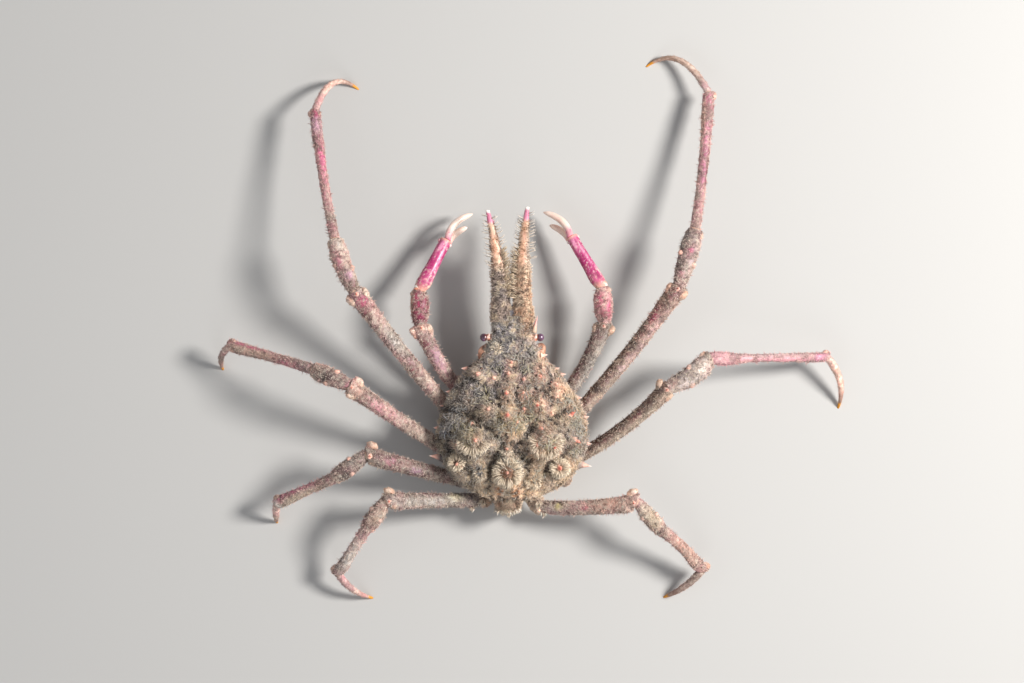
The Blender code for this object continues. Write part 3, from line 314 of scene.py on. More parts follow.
TIP_PROFILE = ((0, 1), (0.18, 0.96), (0.36, 0.88), (0.54, 0.78), (0.72, 0.66), (0.87, 0.5), (1, 0.3))
BARREL_PROFILE = ((0, 0.66), (0.25, 0.94), (0.5, 1.0), (0.75, 0.98), (1, 0.7))
PALM_PROFILE = ((0, 0.72), (0.14, 1.08), (0.35, 1.0), (0.65, 0.88), (0.9, 0.87), (1, 0.88))
FINGER_PROFILE = ((0, 1), (0.2, 1.04), (0.5, 1.06), (0.75, 0.96), (0.88, 0.8), (0.95, 0.58),
                  (0.985, 0.34), (1, 0.1))
LIMB_SQUASH = 0.92
LIMB_ROW_STEP = 0.3
LIMB_COLUMNS = 30
MITRE_REACH = 0.3
LIMB_ROUGH = 0.11
KNOB_PART = {"merus": 0.5, "carpus": 0.42, "propodus": 0.42}
KNOB_OUT = {"merus": 1.1, "carpus": 0.85, "propodus": 0.9}
THORN_LENGTH = 1.3
THORN_GIRTH = 0.42
THORN_SEAT = 0.78
BUMP_PART = 0.34
# Bumps on a leg's carpus: place along it, and turn round it in degrees.
CARPUS_BUMPS = ((0.55, 25), (0.4, 160))

# Each finger's root across and above the palm's end, then its reach, turn in degrees and bow.
Finger = namedtuple("Finger", "out rise reach turn bow")
FREE_FINGER = Finger(-0.3, 0.8, 9.1, 16.0, 3.0)
FIXED_FINGER = Finger(-0.85, -0.75, 6.8, 19.5, 1.6)
FINGER_GIRTH = 0.83
FINGER_FALL = 1.4
FINGER_ROOT = 0.8
FINGER_TEETH = np.linspace(0.25, 0.85, 9)
TIP_TEETH = np.linspace(0.35, 0.82, 7)
COLLAR_OUT = 0.72
COLLAR_BACK = 0.7
COLLAR_RADIUS = 0.52
PALM_ROWS = 72
PALM_COLUMNS = 36
FINGER_ROWS = 90
FINGER_COLUMNS = 28

# Coats: how much lighter a tuft is at its tip, how many tufts, grains and bristles each coat has, and
# how dense and long the limbs' velvet is.
TIP_GAIN = 1.9
FELT_TUFTS = 18500
SHELL_TUFTS = 9500
UNDER_SHELL_TUFTS = 3200
SHELL_GRAINS = 1700
LOOSE_HOOKS = 5600
HORN_TUFTS = 5200
HORN_SHAG = 1200
HORN_NET = 240
CHEST_TUFTS = 2200
COXA_TUFTS = 850
TAIL_TUFTS = 5200
KNOB_TUFTS = 90
PALM_TUFTS = 700
STUB_TUFTS = 1100
COAT_DENSITY = 6.6
LEAST_DENSITY = 3.8
LIMB_PILE = 0.62

# Places on the bake map, and how much of it one bristle takes.
WHOLE_MAP = (0, 0, 1, 1)
HORN_MAP = (0, 0, 0.6, 1)
KNOB_MAP_SHIFT = 0.18
MAP_MARGIN = 0.015
TUFT_PATCH = 0.003

# Floor, sky, camera and lights: places and sizes in metres, lens and sensor in millimetres.
FLOOR_SIZE = 1.6
FLOOR_COLOUR = (0.5, 0.49, 0.475, 1)
SKY_COLOUR = (0.92, 0.95, 1.0, 1)
SKY_STRENGTH = 0.33
CAMERA_PLACE = (0.0, 0.023375, 1.0)
CAMERA_LENS = 140.625
SENSOR_WIDTH = 36.0
Light = namedtuple("Light", "name place size watts colour")
LIGHTS = (
    Light("key", (0.46, 0.14, 0.46), 0.17, 6.2, (1.0, 0.98, 0.95)),
    Light("fill", (-0.42, -0.10, 0.5), 0.5, 0.35, (0.95, 0.97, 1.0)),
    Light("front", (0.05, -0.45, 0.45), 0.4, 0.6, (1.0, 1.0, 1.0)),
)


def tone(red, green, blue):
    """A colour given as screen values from 0 to 255, in linear light."""
    return (np.array((red, green, blue)) / 255) ** 2.2


def mix(one, two, share):
    share = np.asarray(share)[..., None]
    return one * (1 - share) + two * share


def stir(one, two, level, field):
    """Two colours mixed by a field that swings round a level."""
    return mix(one, two, np.clip(level + field, 0, 1))


def capped(colour, most=0.92):
    """A colour dimmed, with its hue kept, so that no channel passes the most."""
    return colour * np.minimum(1, most / np.maximum(colour.max(-1, keepdims=True), 1e-6))


# Colours, from the look of the animal under soft light.
GREY = tone(150, 138, 134)
BLUE_GREY = tone(134, 138, 150)
DARK = tone(48, 41, 39)
TAN = tone(208, 177, 154)
CREAM = tone(238, 218, 190)
YELLOW = tone(214, 196, 136)
BROWN = tone(130, 88, 68)
ORANGE = tone(222, 158, 116)
CORAL = tone(226, 118, 102)
PALE_CORAL = tone(242, 186, 166)
WHITE = tone(250, 242, 232)
BEIGE = tone(212, 180, 166)
PINK = tone(222, 150, 160)
PALE_PINK = tone(244, 184, 214)
ROSE = tone(236, 140, 150)
HOT_PINK = tone(218, 96, 140)
MAGENTA = tone(184, 46, 100)
MAROON = tone(112, 40, 54)
PALM_PURPLE = tone(172, 42, 104)
MAUVE = tone(204, 154, 176)
AMBER = tone(222, 146, 44)
EYE_PURPLE = tone(66, 42, 52)
EYE_MAUVE = tone(126, 92, 122)
WARM_CORAL = mix(ORANGE, PALE_CORAL, 0.5)
ROSETTE_CREAM = tone(255, 238, 204)
FINGER_CREAM = tone(255, 240, 226)

# Stains of the shell, and painted shade in its hollows and along its left edge: place, spread, colour and
# strength.
StainOrShade = namedtuple("StainOrShade", "x y spread colour strength")
STAINS_AND_SHADE = table(
    StainOrShade,
    # The first is painted shade along the left edge, on the side away from the light.
    (-16.5, 0.5, 4.5, DARK, 0.55), (-14.5, 5.5, 3.5, BLUE_GREY * 0.8, 0.85),
    (-11.5, 2.5, 3.0, YELLOW * 0.7, 0.6), (-9.5, -3.0, 3.2, CREAM, 0.4), (-13.6, -6.8, 2.4, CREAM, 0.7),
    # Painted shade in the hollows beside the bosses.
    (-6.2, 2.0, 2.2, DARK, 0.6), (-5.4, -5.6, 2.6, DARK, 0.7), (4.4, -5.2, 2.4, DARK, 0.55),
    (4.8, 2.0, 2.0, DARK, 0.5), (-9.0, 5.0, 2.6, DARK, 0.45),
    (-0.4, 4.0, 3.4, mix(YELLOW, BROWN, 0.25), 0.9), (-2.0, 0.2, 2.6, TAN, 0.7),
    (5.0, 7.8, 3.0, mix(CREAM, PALE_CORAL, 0.5), 0.8),
    (8.6, 10.4, 4.0, mix(PALE_CORAL, GREY, 0.45), 0.75), (-1.2, 8.4, 2.2, TAN, 0.5),
    (-3.4, 12.6, 3.0, BLUE_GREY, 0.6), (3.2, 13.6, 2.8, BLUE_GREY, 0.5),
    (-9.4, 11.6, 3.2, BLUE_GREY, 0.5), (11.4, 11.4, 3.6, mix(PALE_CORAL, CREAM, 0.5), 0.45),
    (12.4, 4.4, 3.6, mix(CREAM, GREY, 0.5), 0.85), (7.4, 1.0, 3.0, mix(GREY, PALE_CORAL, 0.3), 0.6),
    (10.4, -1.6, 2.6, BLUE_GREY, 0.5), (15.6, -2.4, 3.0, BLUE_GREY, 0.55),
    (8.4, -5.8, 3.4, mix(CREAM, PALE_CORAL, 0.3), 0.8), (12.4, -8.6, 2.8, CREAM, 0.75),
    (-1.2, -9.4, 4.0, CREAM, 0.7), (5.4, -10.6, 4.2, mix(CREAM, TAN, 0.4), 0.85),
    (-7.2, -11.6, 4.2, mix(CREAM, TAN, 0.4), 0.85), (0.0, -13.4, 4.4, mix(CREAM, PALE_CORAL, 0.3), 0.85),
    (-7.4, 20.4, 2.0, BROWN, 0.6), (8.2, 19.4, 2.4, mix(TAN, PALE_CORAL, 0.5), 0.75),
    (-3.8, 27.0, 2.4, mix(GREY, BLUE_GREY, 0.4), 0.5),
    (-1.2, 23.6, 4.0, mix(GREY, BLUE_GREY, 0.7) * 1.15, 0.6),
    (4.2, 27.4, 3.2, mix(TAN, ORANGE, 0.25), 0.85), (0.2, 28.6, 2.0, BLUE_GREY, 0.7),
    (-3.0, 15.4, 1.4, BLUE_GREY, 0.5),
)

# Markings of the limbs, with some painted highlights and painted light and shade along their sides: place
# along a piece, place round it in degrees, reach along, reach round.
Patch = namedtuple("Patch", "t turn reach width colour")
PATCHES = {
    "leg_1_left_merus": (
        (0.93, 95, 0.05, 60, MAGENTA), (0.84, 60, 0.03, 40, MAROON), (0.4, 60, 0.03, 30, MAROON),
        # The white patch on the upper side is a painted highlight.
        (0.62, 110, 0.1, 45, WHITE),
    ),
    "leg_1_left_carpus": (
        (0.62, 72, 0.2, 30, mix(HOT_PINK, PINK, 0.3)), (0.12, 110, 0.08, 40, MAROON),
        # The white patch near the end is a painted highlight.
        (0.85, 120, 0.1, 40, WHITE), (0.3, 100, 0.1, 40, MAUVE),
    ),
    "leg_1_left_propodus": (
        (0.55, 100, 0.2, 70, PINK), (0.62, 120, 0.14, 45, HOT_PINK), (0.88, 100, 0.07, 80, MAUVE),
        (0.97, 100, 0.03, 70, MAGENTA),
    ),
    "leg_1_left_dactylus": ((0.12, 90, 0.1, 90, PINK), (0.4, 90, 0.2, 60, PALE_CORAL),),
    "leg_1_right_merus": (
        (0.94, 110, 0.04, 50, MAROON), (0.78, 60, 0.05, 40, MAGENTA), (0.5, 80, 0.025, 30, MAROON),
        (0.42, 120, 0.03, 30, MAROON), (0.3, 90, 0.03, 40, MAROON), (0.14, 90, 0.06, 90, MAROON),
        # The two pale patches are painted light on the lit lower right side.
        (0.62, 128, 0.3, 32, mix(WHITE, PALE_PINK, 0.5) * 1.5), (0.2, 135, 0.2, 34, WHITE * 1.2),
        # The long brown-dark patch at 30 degrees is painted shade on the upper left side.
        (0.35, 30, 0.5, 34, mix(BROWN, DARK, 0.5)), (0.24, 100, 0.04, 70, DARK),
        (0.56, 70, 0.05, 60, DARK),
    ),
    "leg_1_right_carpus": (
        (0.5, 110, 0.3, 40, mix(WHITE, MAUVE, 0.35)), (0.6, 95, 0.14, 25, MAGENTA),
        # The long dark patch at 25 degrees is painted shade on the upper left side.
        (0.2, 70, 0.07, 40, PINK), (0.5, 25, 0.5, 36, mix(GREY, DARK, 0.5)),
        (0.85, 70, 0.1, 60, mix(GREY, DARK, 0.3)),
    ),
    "leg_1_right_propodus": (
        (0.45, 100, 0.2, 45, mix(MAUVE, MAGENTA, 0.45)), (0.7, 80, 0.16, 50, mix(MAUVE, MAGENTA, 0.5)),
        (0.5, 150, 0.2, 30, MAROON), (0.94, 80, 0.06, 70, mix(MAUVE, MAGENTA, 0.6)),
        (0.8, 40, 0.16, 40, PALE_CORAL),
    ),
    "leg_1_right_dactylus": ((0.06, 90, 0.08, 90, MAUVE), (0.5, 90, 0.45, 140, mix(TAN, BROWN, 0.35)),),
    "leg_2_left_merus": ((0.75, 80, 0.1, 50, PINK), (0.93, 90, 0.06, 60, PALE_CORAL),),
    "leg_2_left_carpus": ((0.6, 90, 0.25, 60, DARK), (0.05, 90, 0.08, 60, PINK),),
    "leg_2_left_propodus": (
        (0.1, 80, 0.09, 90, mix(GREY, DARK, 0.3)), (0.3, 60, 0.12, 40, HOT_PINK),
        (0.7, 90, 0.3, 60, mix(PALE_CORAL, CREAM, 0.5)),
        (0.75, 140, 0.25, 25, mix(HOT_PINK, MAGENTA, 0.4)),
    ),
    "leg_2_right_merus": (
        (0.33, 80, 0.055, 38, MAGENTA), (0.3, 70, 0.035, 28, MAROON), (0.66, 85, 0.05, 32, MAGENTA),
        (0.8, 70, 0.04, 30, MAROON), (0.12, 90, 0.06, 60, MAROON),
        # The pale patch is painted light on the lower right side, and the brown-dark one painted shade on the
        # upper left side.
        (0.5, 132, 0.7, 36, mix(WHITE, CREAM, 0.4) * 2), (0.4, 40, 0.6, 40, mix(BROWN, DARK, 0.5)),
    ),
    "leg_2_right_carpus": (
        # The long dark patch at 30 degrees is painted shade on the upper left side, and the pale patch at 130
        # degrees painted light on the lower right side.
        (0.3, 60, 0.1, 40, GREY), (0.5, 30, 0.5, 40, mix(DARK, GREY, 0.3)), (0.7, 95, 0.2, 50, WHITE),
        (0.45, 130, 0.4, 40, mix(WHITE, MAUVE, 0.2)),
    ),
    "leg_2_right_propodus": (
        (0.08, 90, 0.16, 160, mix(ROSE, PALE_PINK, 0.5)), (0.3, 100, 0.1, 50, PINK),
        (0.55, 60, 0.3, 50, mix(PALE_PINK, WHITE, 0.5)), (0.6, 110, 0.35, 60, PINK),
        (0.93, 90, 0.07, 80, mix(HOT_PINK, MAUVE, 0.6)),
    ),
    "leg_2_right_dactylus": ((0.3, 90, 0.3, 120, PALE_CORAL), (0.65, 90, 0.25, 140, PALE_CORAL),),
    "leg_3_left_merus": (
        (0.8, 100, 0.09, 60, PINK), (0.55, 70, 0.06, 40, MAUVE), (0.08, 90, 0.1, 120, DARK),
    ),
    "leg_3_left_carpus": (
        (0.7, 60, 0.22, 70, DARK), (0.35, 120, 0.1, 40, WHITE),
        (0.15, 90, 0.2, 90, mix(MAUVE, CREAM, 0.5)),
    ),
    "leg_3_left_propodus": (
        (0.9, 110, 0.07, 50, HOT_PINK), (0.65, 145, 0.35, 34, mix(HOT_PINK, MAGENTA, 0.3)),
        (0.6, 55, 0.4, 45, CREAM), (0.97, 60, 0.05, 80, WHITE),
    ),
    "leg_4_left_merus": (
        (0.2, 150, 0.2, 50, BLUE_GREY), (0.3, 110, 0.08, 40, YELLOW), (0.6, 80, 0.35, 50, WHITE),
    ),
    "leg_4_left_carpus": (
        (0.6, 150, 0.25, 50, DARK), (0.45, 70, 0.3, 60, mix(PALE_CORAL, CREAM, 0.6)),
        (0.4, 60, 0.06, 20, WHITE),
    ),
    "leg_4_left_propodus": ((0.6, 80, 0.4, 90, WHITE),),
    "leg_4_right_merus": (
        (0.48, 90, 0.05, 18, MAGENTA), (0.15, 100, 0.1, 70, GREY), (0.2, 80, 0.04, 30, YELLOW),
        (0.7, 80, 0.2, 60, PALE_CORAL),
    ),
    "leg_4_right_carpus": ((0.6, 80, 0.3, 60, mix(CREAM, YELLOW, 0.3)), (0.95, 90, 0.06, 90, DARK),),
    "leg_4_right_dactylus": ((0.4, 90, 0.5, 120, mix(BROWN, GREY, 0.5)),),
    "leg_4_right_propodus": ((0.5, 90, 0.4, 90, PALE_CORAL),),
    "claw_left_merus": (
        (0.55, 100, 0.15, 50, MAUVE), (0.8, 70, 0.08, 40, MAROON), (0.97, 90, 0.04, 60, PALE_CORAL),
    ),
    "claw_left_carpus": (
        (0.5, 90, 0.6, 120, MAROON), (0.6, 70, 0.3, 45, MAGENTA), (0.22, 90, 0.14, 40, MAGENTA * 0.6),
        (0.65, 20, 0.3, 30, PALE_CORAL),
    ),
    "claw_right_merus": (
        (0.65, 40, 0.2, 30, MAROON), (0.35, 60, 0.14, 26, MAROON), (0.97, 90, 0.04, 60, PALE_CORAL),
        # The long pale patch is painted light on the lit lower right side.
        (0.45, 140, 0.5, 34, WHITE * 1.5),
    ),
    "claw_right_carpus": (
        (0.5, 90, 0.6, 150, mix(MAGENTA, BEIGE, 0.6)), (0.42, 125, 0.24, 22, MAGENTA),
        (0.2, 90, 0.12, 40, MAROON), (0.6, 70, 0.2, 24, MAGENTA),
    ),
}

# How speckled the smoother pieces are.
SPECKLED = {"propodus": 0.6, "dactylus": 0.6, "leg_2_right_propodus": 0.2}
# Pieces with a brown cast, and the cast.
BROWN_CAST = np.array((1.05, 0.96, 0.89))
CAST_PIECES = ("leg_1_right_merus", "leg_2_right_merus")
# Patches lighter than this lie on the velvet, not on bare shell: pale dust, and the painted highlights and
# painted light on lit sides.
DUST_AND_LIGHT_LEVEL = 0.55
# How light the darker pieces are.
LIMB_SHADE = {"leg_1_right_merus": 0.7, "leg_2_right_merus": 0.52, "leg_3_left_merus": 0.61,
              "leg_4_left_merus": 0.74, "claw_right_merus": 0.55, "leg_1_right_carpus": 0.86,
              "leg_2_right_carpus": 1.1, "leg_3_left_carpus": 0.85, "leg_4_left_carpus": 1.0,
              "leg_2_left_carpus": 0.8, "claw_left_carpus": 0.9, "leg_4_right_merus": 1.1,
              "claw_right_carpus": 1.1}
# How much velvet and grey each kind of piece carries, and how pink its shell is.
VELVET = {"merus": 0.62, "carpus": 0.72, "propodus": 0.42, "dactylus": 0.25,
          "claw_left_carpus": 0.62, "claw_right_carpus": 0.7, "leg_1_left_merus": 0.66,
          "leg_2_right_propodus": 0.3, "leg_2_right_dactylus": 0.1}
PINKNESS = {"merus": 0.22, "carpus": 0.25, "propodus": 0.55, "dactylus": 0.35,
            "claw_left_carpus": 0.85, "claw_right_carpus": 0.75, "claw_left_merus": 0.4,
            "leg_3_left_propodus": 0.45, "leg_2_right_propodus": 0.8}


def blend(low, high, value):
    """0 below low, 1 above high, and a smooth step between."""
    t = np.clip((value - low) / (high - low), 0, 1)
    return t * t * (3 - 2 * t)


def bell(value, width):
    """1 where a value is 0, falling off smoothly over about a width on both sides."""
    return np.exp(-(value / width) ** 2)


def spot(x, y, centre, spread):
    """1 at a centre, falling off smoothly all round it."""
    return np.exp(-((x - centre.x) ** 2 + (y - centre.y) ** 2) / spread ** 2)


def unit(vectors):
    vectors = np.asarray(vectors, float)
    return vectors / np.maximum(np.linalg.norm(vectors, axis=-1, keepdims=True), 1e-9)


NOISE_TABLE = np.random.default_rng(7).uniform(-1, 1, 4096)


def noise(points, size, seed=0):
    """Smooth random values from -1 to 1 whose features are about this many millimetres across."""
    cell = np.asarray(points) / size + 61.7 * seed + 500.0
    low = np.floor(cell).astype(np.int64)
    t = cell - low
    t = t * t * (3 - 2 * t)
    total = np.zeros(cell.shape[:-1])
    for corner in np.ndindex(2, 2, 2):
        x, y, z = ((low[..., k] + corner[k]) for k in range(3))
        value = NOISE_TABLE[(x * 73856093 ^ y * 19349663 ^ z * 83492791) & 4095]
        for k in range(3):
            value = value * (t[..., k] if corner[k] else 1 - t[..., k])
        total += value
    return total


def fractal(points, size, seed=0, octaves=3):
    total = 0
    for k in range(octaves):
        total = total + noise(points, size / 2 ** k, seed + k) * 0.5 ** k
    return total / 1.4


def along_and_round(rows, columns):
    """Place along a tube from 0 to 1, and turn round it in degrees, at each point of its grid."""
    t = np.linspace(0, 1, rows)[:, None] * np.ones(columns)
    return t, np.ones(rows)[:, None] * (360 * np.arange(columns) / columns)


def round_turns(columns):
    """Even turns round a circle, in radians."""
    return TAU * np.arange(columns) / columns


def level_aims(turn):
    """Level directions from their turns."""
    return np.stack((np.cos(turn), np.sin(turn), 0 * turn), -1)


def rounded(wave, power):
    """A cosine or sine made squarer."""
    return np.sign(wave) * np.abs(wave) ** power


def heading_pitch(heading, pitch):
    turn = math.radians(heading)
    rise = math.radians(pitch)
    return np.array((math.cos(rise) * math.cos(turn), math.cos(rise) * math.sin(turn), math.sin(rise)))


def left_of(along):
    return unit(np.cross(UP, along))


def bend_point(bend, t):
    start, control, end = bend
    t = np.asarray(t, float)[..., None]
    return start * (1 - t) ** 2 + control * 2 * t * (1 - t) + end * t * t


def bend_along(bend, t):
    start, control, end = bend
    t = np.asarray(t, float)[..., None]
    return unit((control - start) * (1 - t) + (end - control) * t)


def run_bend(start, run):
    step = heading_pitch(run.heading, run.pitch) * run.length
    return start, start + step / 2 + left_of(step) * 2 * run.bow, start + step


def tip_bend(start, tip):
    flat = heading_pitch(tip.heading, 0) * tip.reach
    end = np.array((start[0], start[1], 0)) + flat
    control = start + (end - start) * (0.5 + tip.skew) + left_of(flat) * tip.bow + UP * tip.lift
    return start, control, end


def shared_planes(bends, first, last):
    planes = [first]
    for one, two in zip(bends, bends[1:]):
        planes.append(unit(bend_along(one, 1) + bend_along(two, 0)))
    planes.append(last)
    return planes


def shell_half_width(y):
    reach = np.where(y < WIDEST_AT, REAR_REACH, FRONT_REACH)
    body = SHELL_HALF_WIDTH * np.sqrt(np.maximum(0, 1 - ((y - WIDEST_AT) / reach) ** 2))
    cheek = NECK_HALF_WIDTH + CHEEK_SPREAD * (np.maximum(0, NECK_FROM - y) / CHEEK_REACH) ** 1.3
    share = blend(12, 15, y)
    return body * (1 - share) + cheek * share


def shell_edge(y):
    return EDGE_HEIGHT + (NECK_EDGE_HEIGHT - EDGE_HEIGHT) * blend(12, 23, y)


def shell_belly(y):
    return BELLY_HEIGHT + (NECK_BELLY_HEIGHT - BELLY_HEIGHT) * blend(CHEST_FRONT - 1, 23, y)


def shell_crest(y):
    swell = CREST_SWELL * bell(y - CREST_AT, CREST_REACH)
    fall = REAR_FALL * (np.maximum(0, -9 - y) / 6.6) ** 1.5
    return CREST_HEIGHT + swell - fall


def shell_top(x, y):
    across = np.minimum(np.abs(x) / shell_half_width(y), 1)
    dome = np.sqrt(1 - across ** DOME_POWER)
    bumps = sum(boss.height * spot(x, y, boss, boss.spread) for boss in BOSSES)
    edge = shell_edge(y)
    return edge + (shell_crest(y) - edge) * dome + bumps * np.minimum(1, 2 * dome)


def groove_depth(x, y):
    """How deep the grooves run at a place over the shell."""
    depth = np.zeros(np.broadcast(x, y).shape)
    for groove in GROOVES:
        near = np.full(depth.shape, 99.0)
        for (x0, y0), (x1, y1) in zip(groove.path, groove.path[1:]):
            along = np.clip(((x - x0) * (x1 - x0) + (y - y0) * (y1 - y0))
                            / ((x1 - x0) ** 2 + (y1 - y0) ** 2), 0, 1)
            near = np.minimum(near, np.hypot(x - x0 - along * (x1 - x0), y - y0 - along * (y1 - y0)))
        depth = np.maximum(depth, groove.depth * bell(near, groove.width))
    return depth


def mound_height(x, y):
    """The round mound under each tubercle, with a shallow moat."""
    total = 0
    for spine in TUBERCLES:
        away = ((x - spine.x) ** 2 + (y - spine.y) ** 2) / MOUND_SPREAD ** 2
        total = total + MOUND_HEIGHT * spine.length * (np.exp(-away) - 0.4 * np.exp(-away / 4))
    return total


def skin_top(x, y):
    """The shell's upper surface with its mounds raised and its furrows deepened."""
    across = np.minimum(np.abs(x) / shell_half_width(y), 1)
    inside = np.minimum(1, 2.5 * np.sqrt(1 - across ** DOME_POWER))
    return shell_top(x, y) + (mound_height(x, y) - groove_depth(x, y)) * inside


def relief(x, y, reach=1.3):
    """How far a place stands above its surroundings, from -1 to 1."""
    around = 0
    for turn in np.arange(6) * TAU / 6:
        across, ahead = reach * math.cos(turn), reach * math.sin(turn)
        around = around + skin_top(x + across, np.clip(y + ahead, SHELL_REAR, SHELL_FRONT)) / 6
    return np.clip((skin_top(x, y) - around) / 0.4, -1, 1)


def shell_point(x, y):
    return np.stack(np.broadcast_arrays(x, y, skin_top(x, y)), -1)


def shell_normal(x, y):
    step = 0.2
    across = shell_point(x + step, y) - shell_point(x - step, y)
    ahead = shell_point(x, y + step) - shell_point(x, y - step)
    return unit(np.cross(across, ahead))


class Grid:
    """A closed tube of points in rows round an axis, with its outward normals."""

    def __init__(self, points):
        self.points = points
        self.settle()

    def settle(self):
        across = np.roll(self.points, -1, 1) - np.roll(self.points, 1, 1)
        ahead = np.gradient(self.points, axis=0)
        normals = unit(np.cross(across, ahead))
        middle = self.points.mean(axis=1, keepdims=True)
        self.sign = 1 if ((self.points - middle) * normals).sum() > 0 else -1
        self.normals = normals * self.sign

    def swell(self, amount):
        """Moves every point along its normal by an amount in millimetres."""
        self.points = self.points + self.normals * amount[..., None]
        self.settle()


class Piece:
    """Gathers closed surfaces, with a tint and a bareness at each point, into one object."""

    def __init__(self, name):
        self.name = name
        self.points, self.tints, self.bare, self.maps = [], [], [], []
        self.quads, self.triangles = [], []
        self.count = 0

    def add(self, points, quads, triangles, tints, bare, maps=None):
        points = np.asarray(points).reshape(-1, 3)
        number = len(points)
        self.points.append(points)
        self.tints.append(np.broadcast_to(tints, (number, 3)))
        self.bare.append(np.broadcast_to(bare, (number,)))
        if maps is not None:
            self.maps.append(maps)
        self.quads.append(np.asarray(quads, int).reshape(-1, 4) + self.count)
        self.triangles.append(np.asarray(triangles, int).reshape(-1, 3) + self.count)
        self.count += number

    def add_grid(self, grid, tints, bare, bulge=0.0):
        """Adds a tube of rows, closed by a low dome at each end."""
        rows, columns = grid.points.shape[:2]
        near = grid.points[0].mean(0) - unit(grid.points[1].mean(0) - grid.points[0].mean(0)) * bulge
        far = grid.points[-1].mean(0) + unit(grid.points[-1].mean(0) - grid.points[-2].mean(0)) * bulge
        index = np.arange(rows * columns).reshape(rows, columns)
        one, two = index[:-1], index[1:]
        quads = np.stack((one, np.roll(one, -1, 1), np.roll(two, -1, 1), two), -1).reshape(-1, 4)
        first = np.stack((np.roll(index[0], -1), index[0], np.full(columns, rows * columns)), -1)
        last = np.stack((index[-1], np.roll(index[-1], -1), np.full(columns, rows * columns + 1)), -1)
        triangles = np.concatenate((first, last))
        if grid.sign < 0:
            quads = quads[:, ::-1]
            triangles = triangles[:, ::-1]
        tints = np.broadcast_to(tints, grid.points.shape).reshape(-1, 3)
        bare = np.broadcast_to(bare, grid.points.shape[:2]).reshape(-1)
        points = np.concatenate((grid.points.reshape(-1, 3), near[None], far[None]))
        tints = np.concatenate((tints, tints[:columns].mean(0)[None], tints[-columns:].mean(0)[None]))
        self.add(points, quads, triangles, tints, np.concatenate((bare, bare[:1], bare[-1:])))

    def mark(self, mesh, corners):
        """Gives a mesh its tints, its bareness and its place on the bake map."""
        tint = mesh.attributes.new("Tint", "FLOAT_COLOR", "POINT")
        colours = np.concatenate((np.concatenate(self.tints), np.ones((self.count, 1))), 1)
        tint.data.foreach_set("color", colours.astype(np.float32).ravel())
        bare = mesh.attributes.new("Bare", "FLOAT", "POINT")
        bare.data.foreach_set("value", np.concatenate(self.bare).astype(np.float32))
        if self.maps:
            layer = mesh.uv_layers.new(name="OFBake")
            layer.data.foreach_set("uv", np.concatenate(self.maps)[corners].astype(np.float32).ravel())

    def build(self, material, slot, *nodes):
        """Makes the object, rides it on the body and hides the solids that it stands for."""
        points = np.concatenate(self.points)
        quads = np.concatenate(self.quads)
        triangles = np.concatenate(self.triangles)
        mesh = bpy.data.meshes.new(self.name)
        mesh.vertices.add(len(points))
        mesh.vertices.foreach_set("co", (points * MM).astype(np.float32).ravel())
        corners = np.concatenate((quads.ravel(), triangles.ravel()))
        starts = np.concatenate((np.arange(len(quads)) * 4, len(quads) * 4 + np.arange(len(triangles)) * 3))
        mesh.loops.add(len(corners))
        mesh.loops.foreach_set("vertex_index", corners.astype(np.int32))
        mesh.polygons.add(len(starts))
        mesh.polygons.foreach_set("loop_start", starts.astype(np.int32))
        mesh.update(calc_edges=True)
        self.mark(mesh, corners)
        mesh.materials.append(material)
        mesh.shade_smooth()
        obj = show(bpy.data.objects.new(self.name, mesh))
        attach(obj, "root")
        if nodes:
            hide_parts(*nodes)


def bristle_faces(steps):
    """Faces of one bristle: rings of three corners, closed at the root and drawn to a point."""
    quads = [(k * 3 + c, k * 3 + (c + 1) % 3, k * 3 + 3 + (c + 1) % 3, k * 3 + 3 + c)
             for k in range(steps - 1) for c in range(3)]
    tip = steps * 3
    triangles = [(tip - 3 + c, tip - 3 + (c + 1) % 3, tip) for c in range(3)] + [(2, 1, 0)]
    return np.array(quads, int).reshape(-1, 4), np.array(triangles)


def coat(piece, roots, aims, toward, length, girth, curl, tints, tips, maps, steps=2, late=1.5, flat=1.0,
         taper=1.0):
    """Adds tapered bristles that leave their aim and curl towards a second direction, as solid mesh."""
    number = len(roots)
    length, girth, curl = (np.broadcast_to(size, (number,))[:, None] for size in (length, girth, curl))
    aims = unit(aims)
    side = unit(np.cross(aims, toward))
    toward = unit(np.cross(side, aims))
    point = roots - aims * girth
    rings, shades, patches = [], [], []
    for k in range(steps + 1):
        t = k / steps
        turn = curl * t ** late
        along = aims * np.cos(turn) + toward * np.sin(turn)
        over = np.cross(along, side) * -1
        thick = girth * (1 - 0.75 * t ** taper)
        for c in (0,) if k == steps else (0, 1, 2):
            angle = TAU * (c / 3 + 0.25)
            out = side * math.cos(angle) * flat + over * math.sin(angle)
            rings.append(point + (0 if k == steps else out * thick))
            shades.append(mix(tints, tips, t))
            patches.append(maps + np.array((c / 3 - 0.33, t - 0.5)) * TUFT_PATCH)
        point = point + along * length / steps
    base = (np.arange(number) * len(rings))[:, None, None]
    quads, triangles = bristle_faces(steps)
    piece.add(np.stack(rings, 1).reshape(-1, 3), (quads[None] + base).reshape(-1, 4),
              (triangles[None] + base).reshape(-1, 3), np.stack(shades, 1).reshape(-1, 3), 0.0,
              np.stack(patches, 1).reshape(-1, 2))


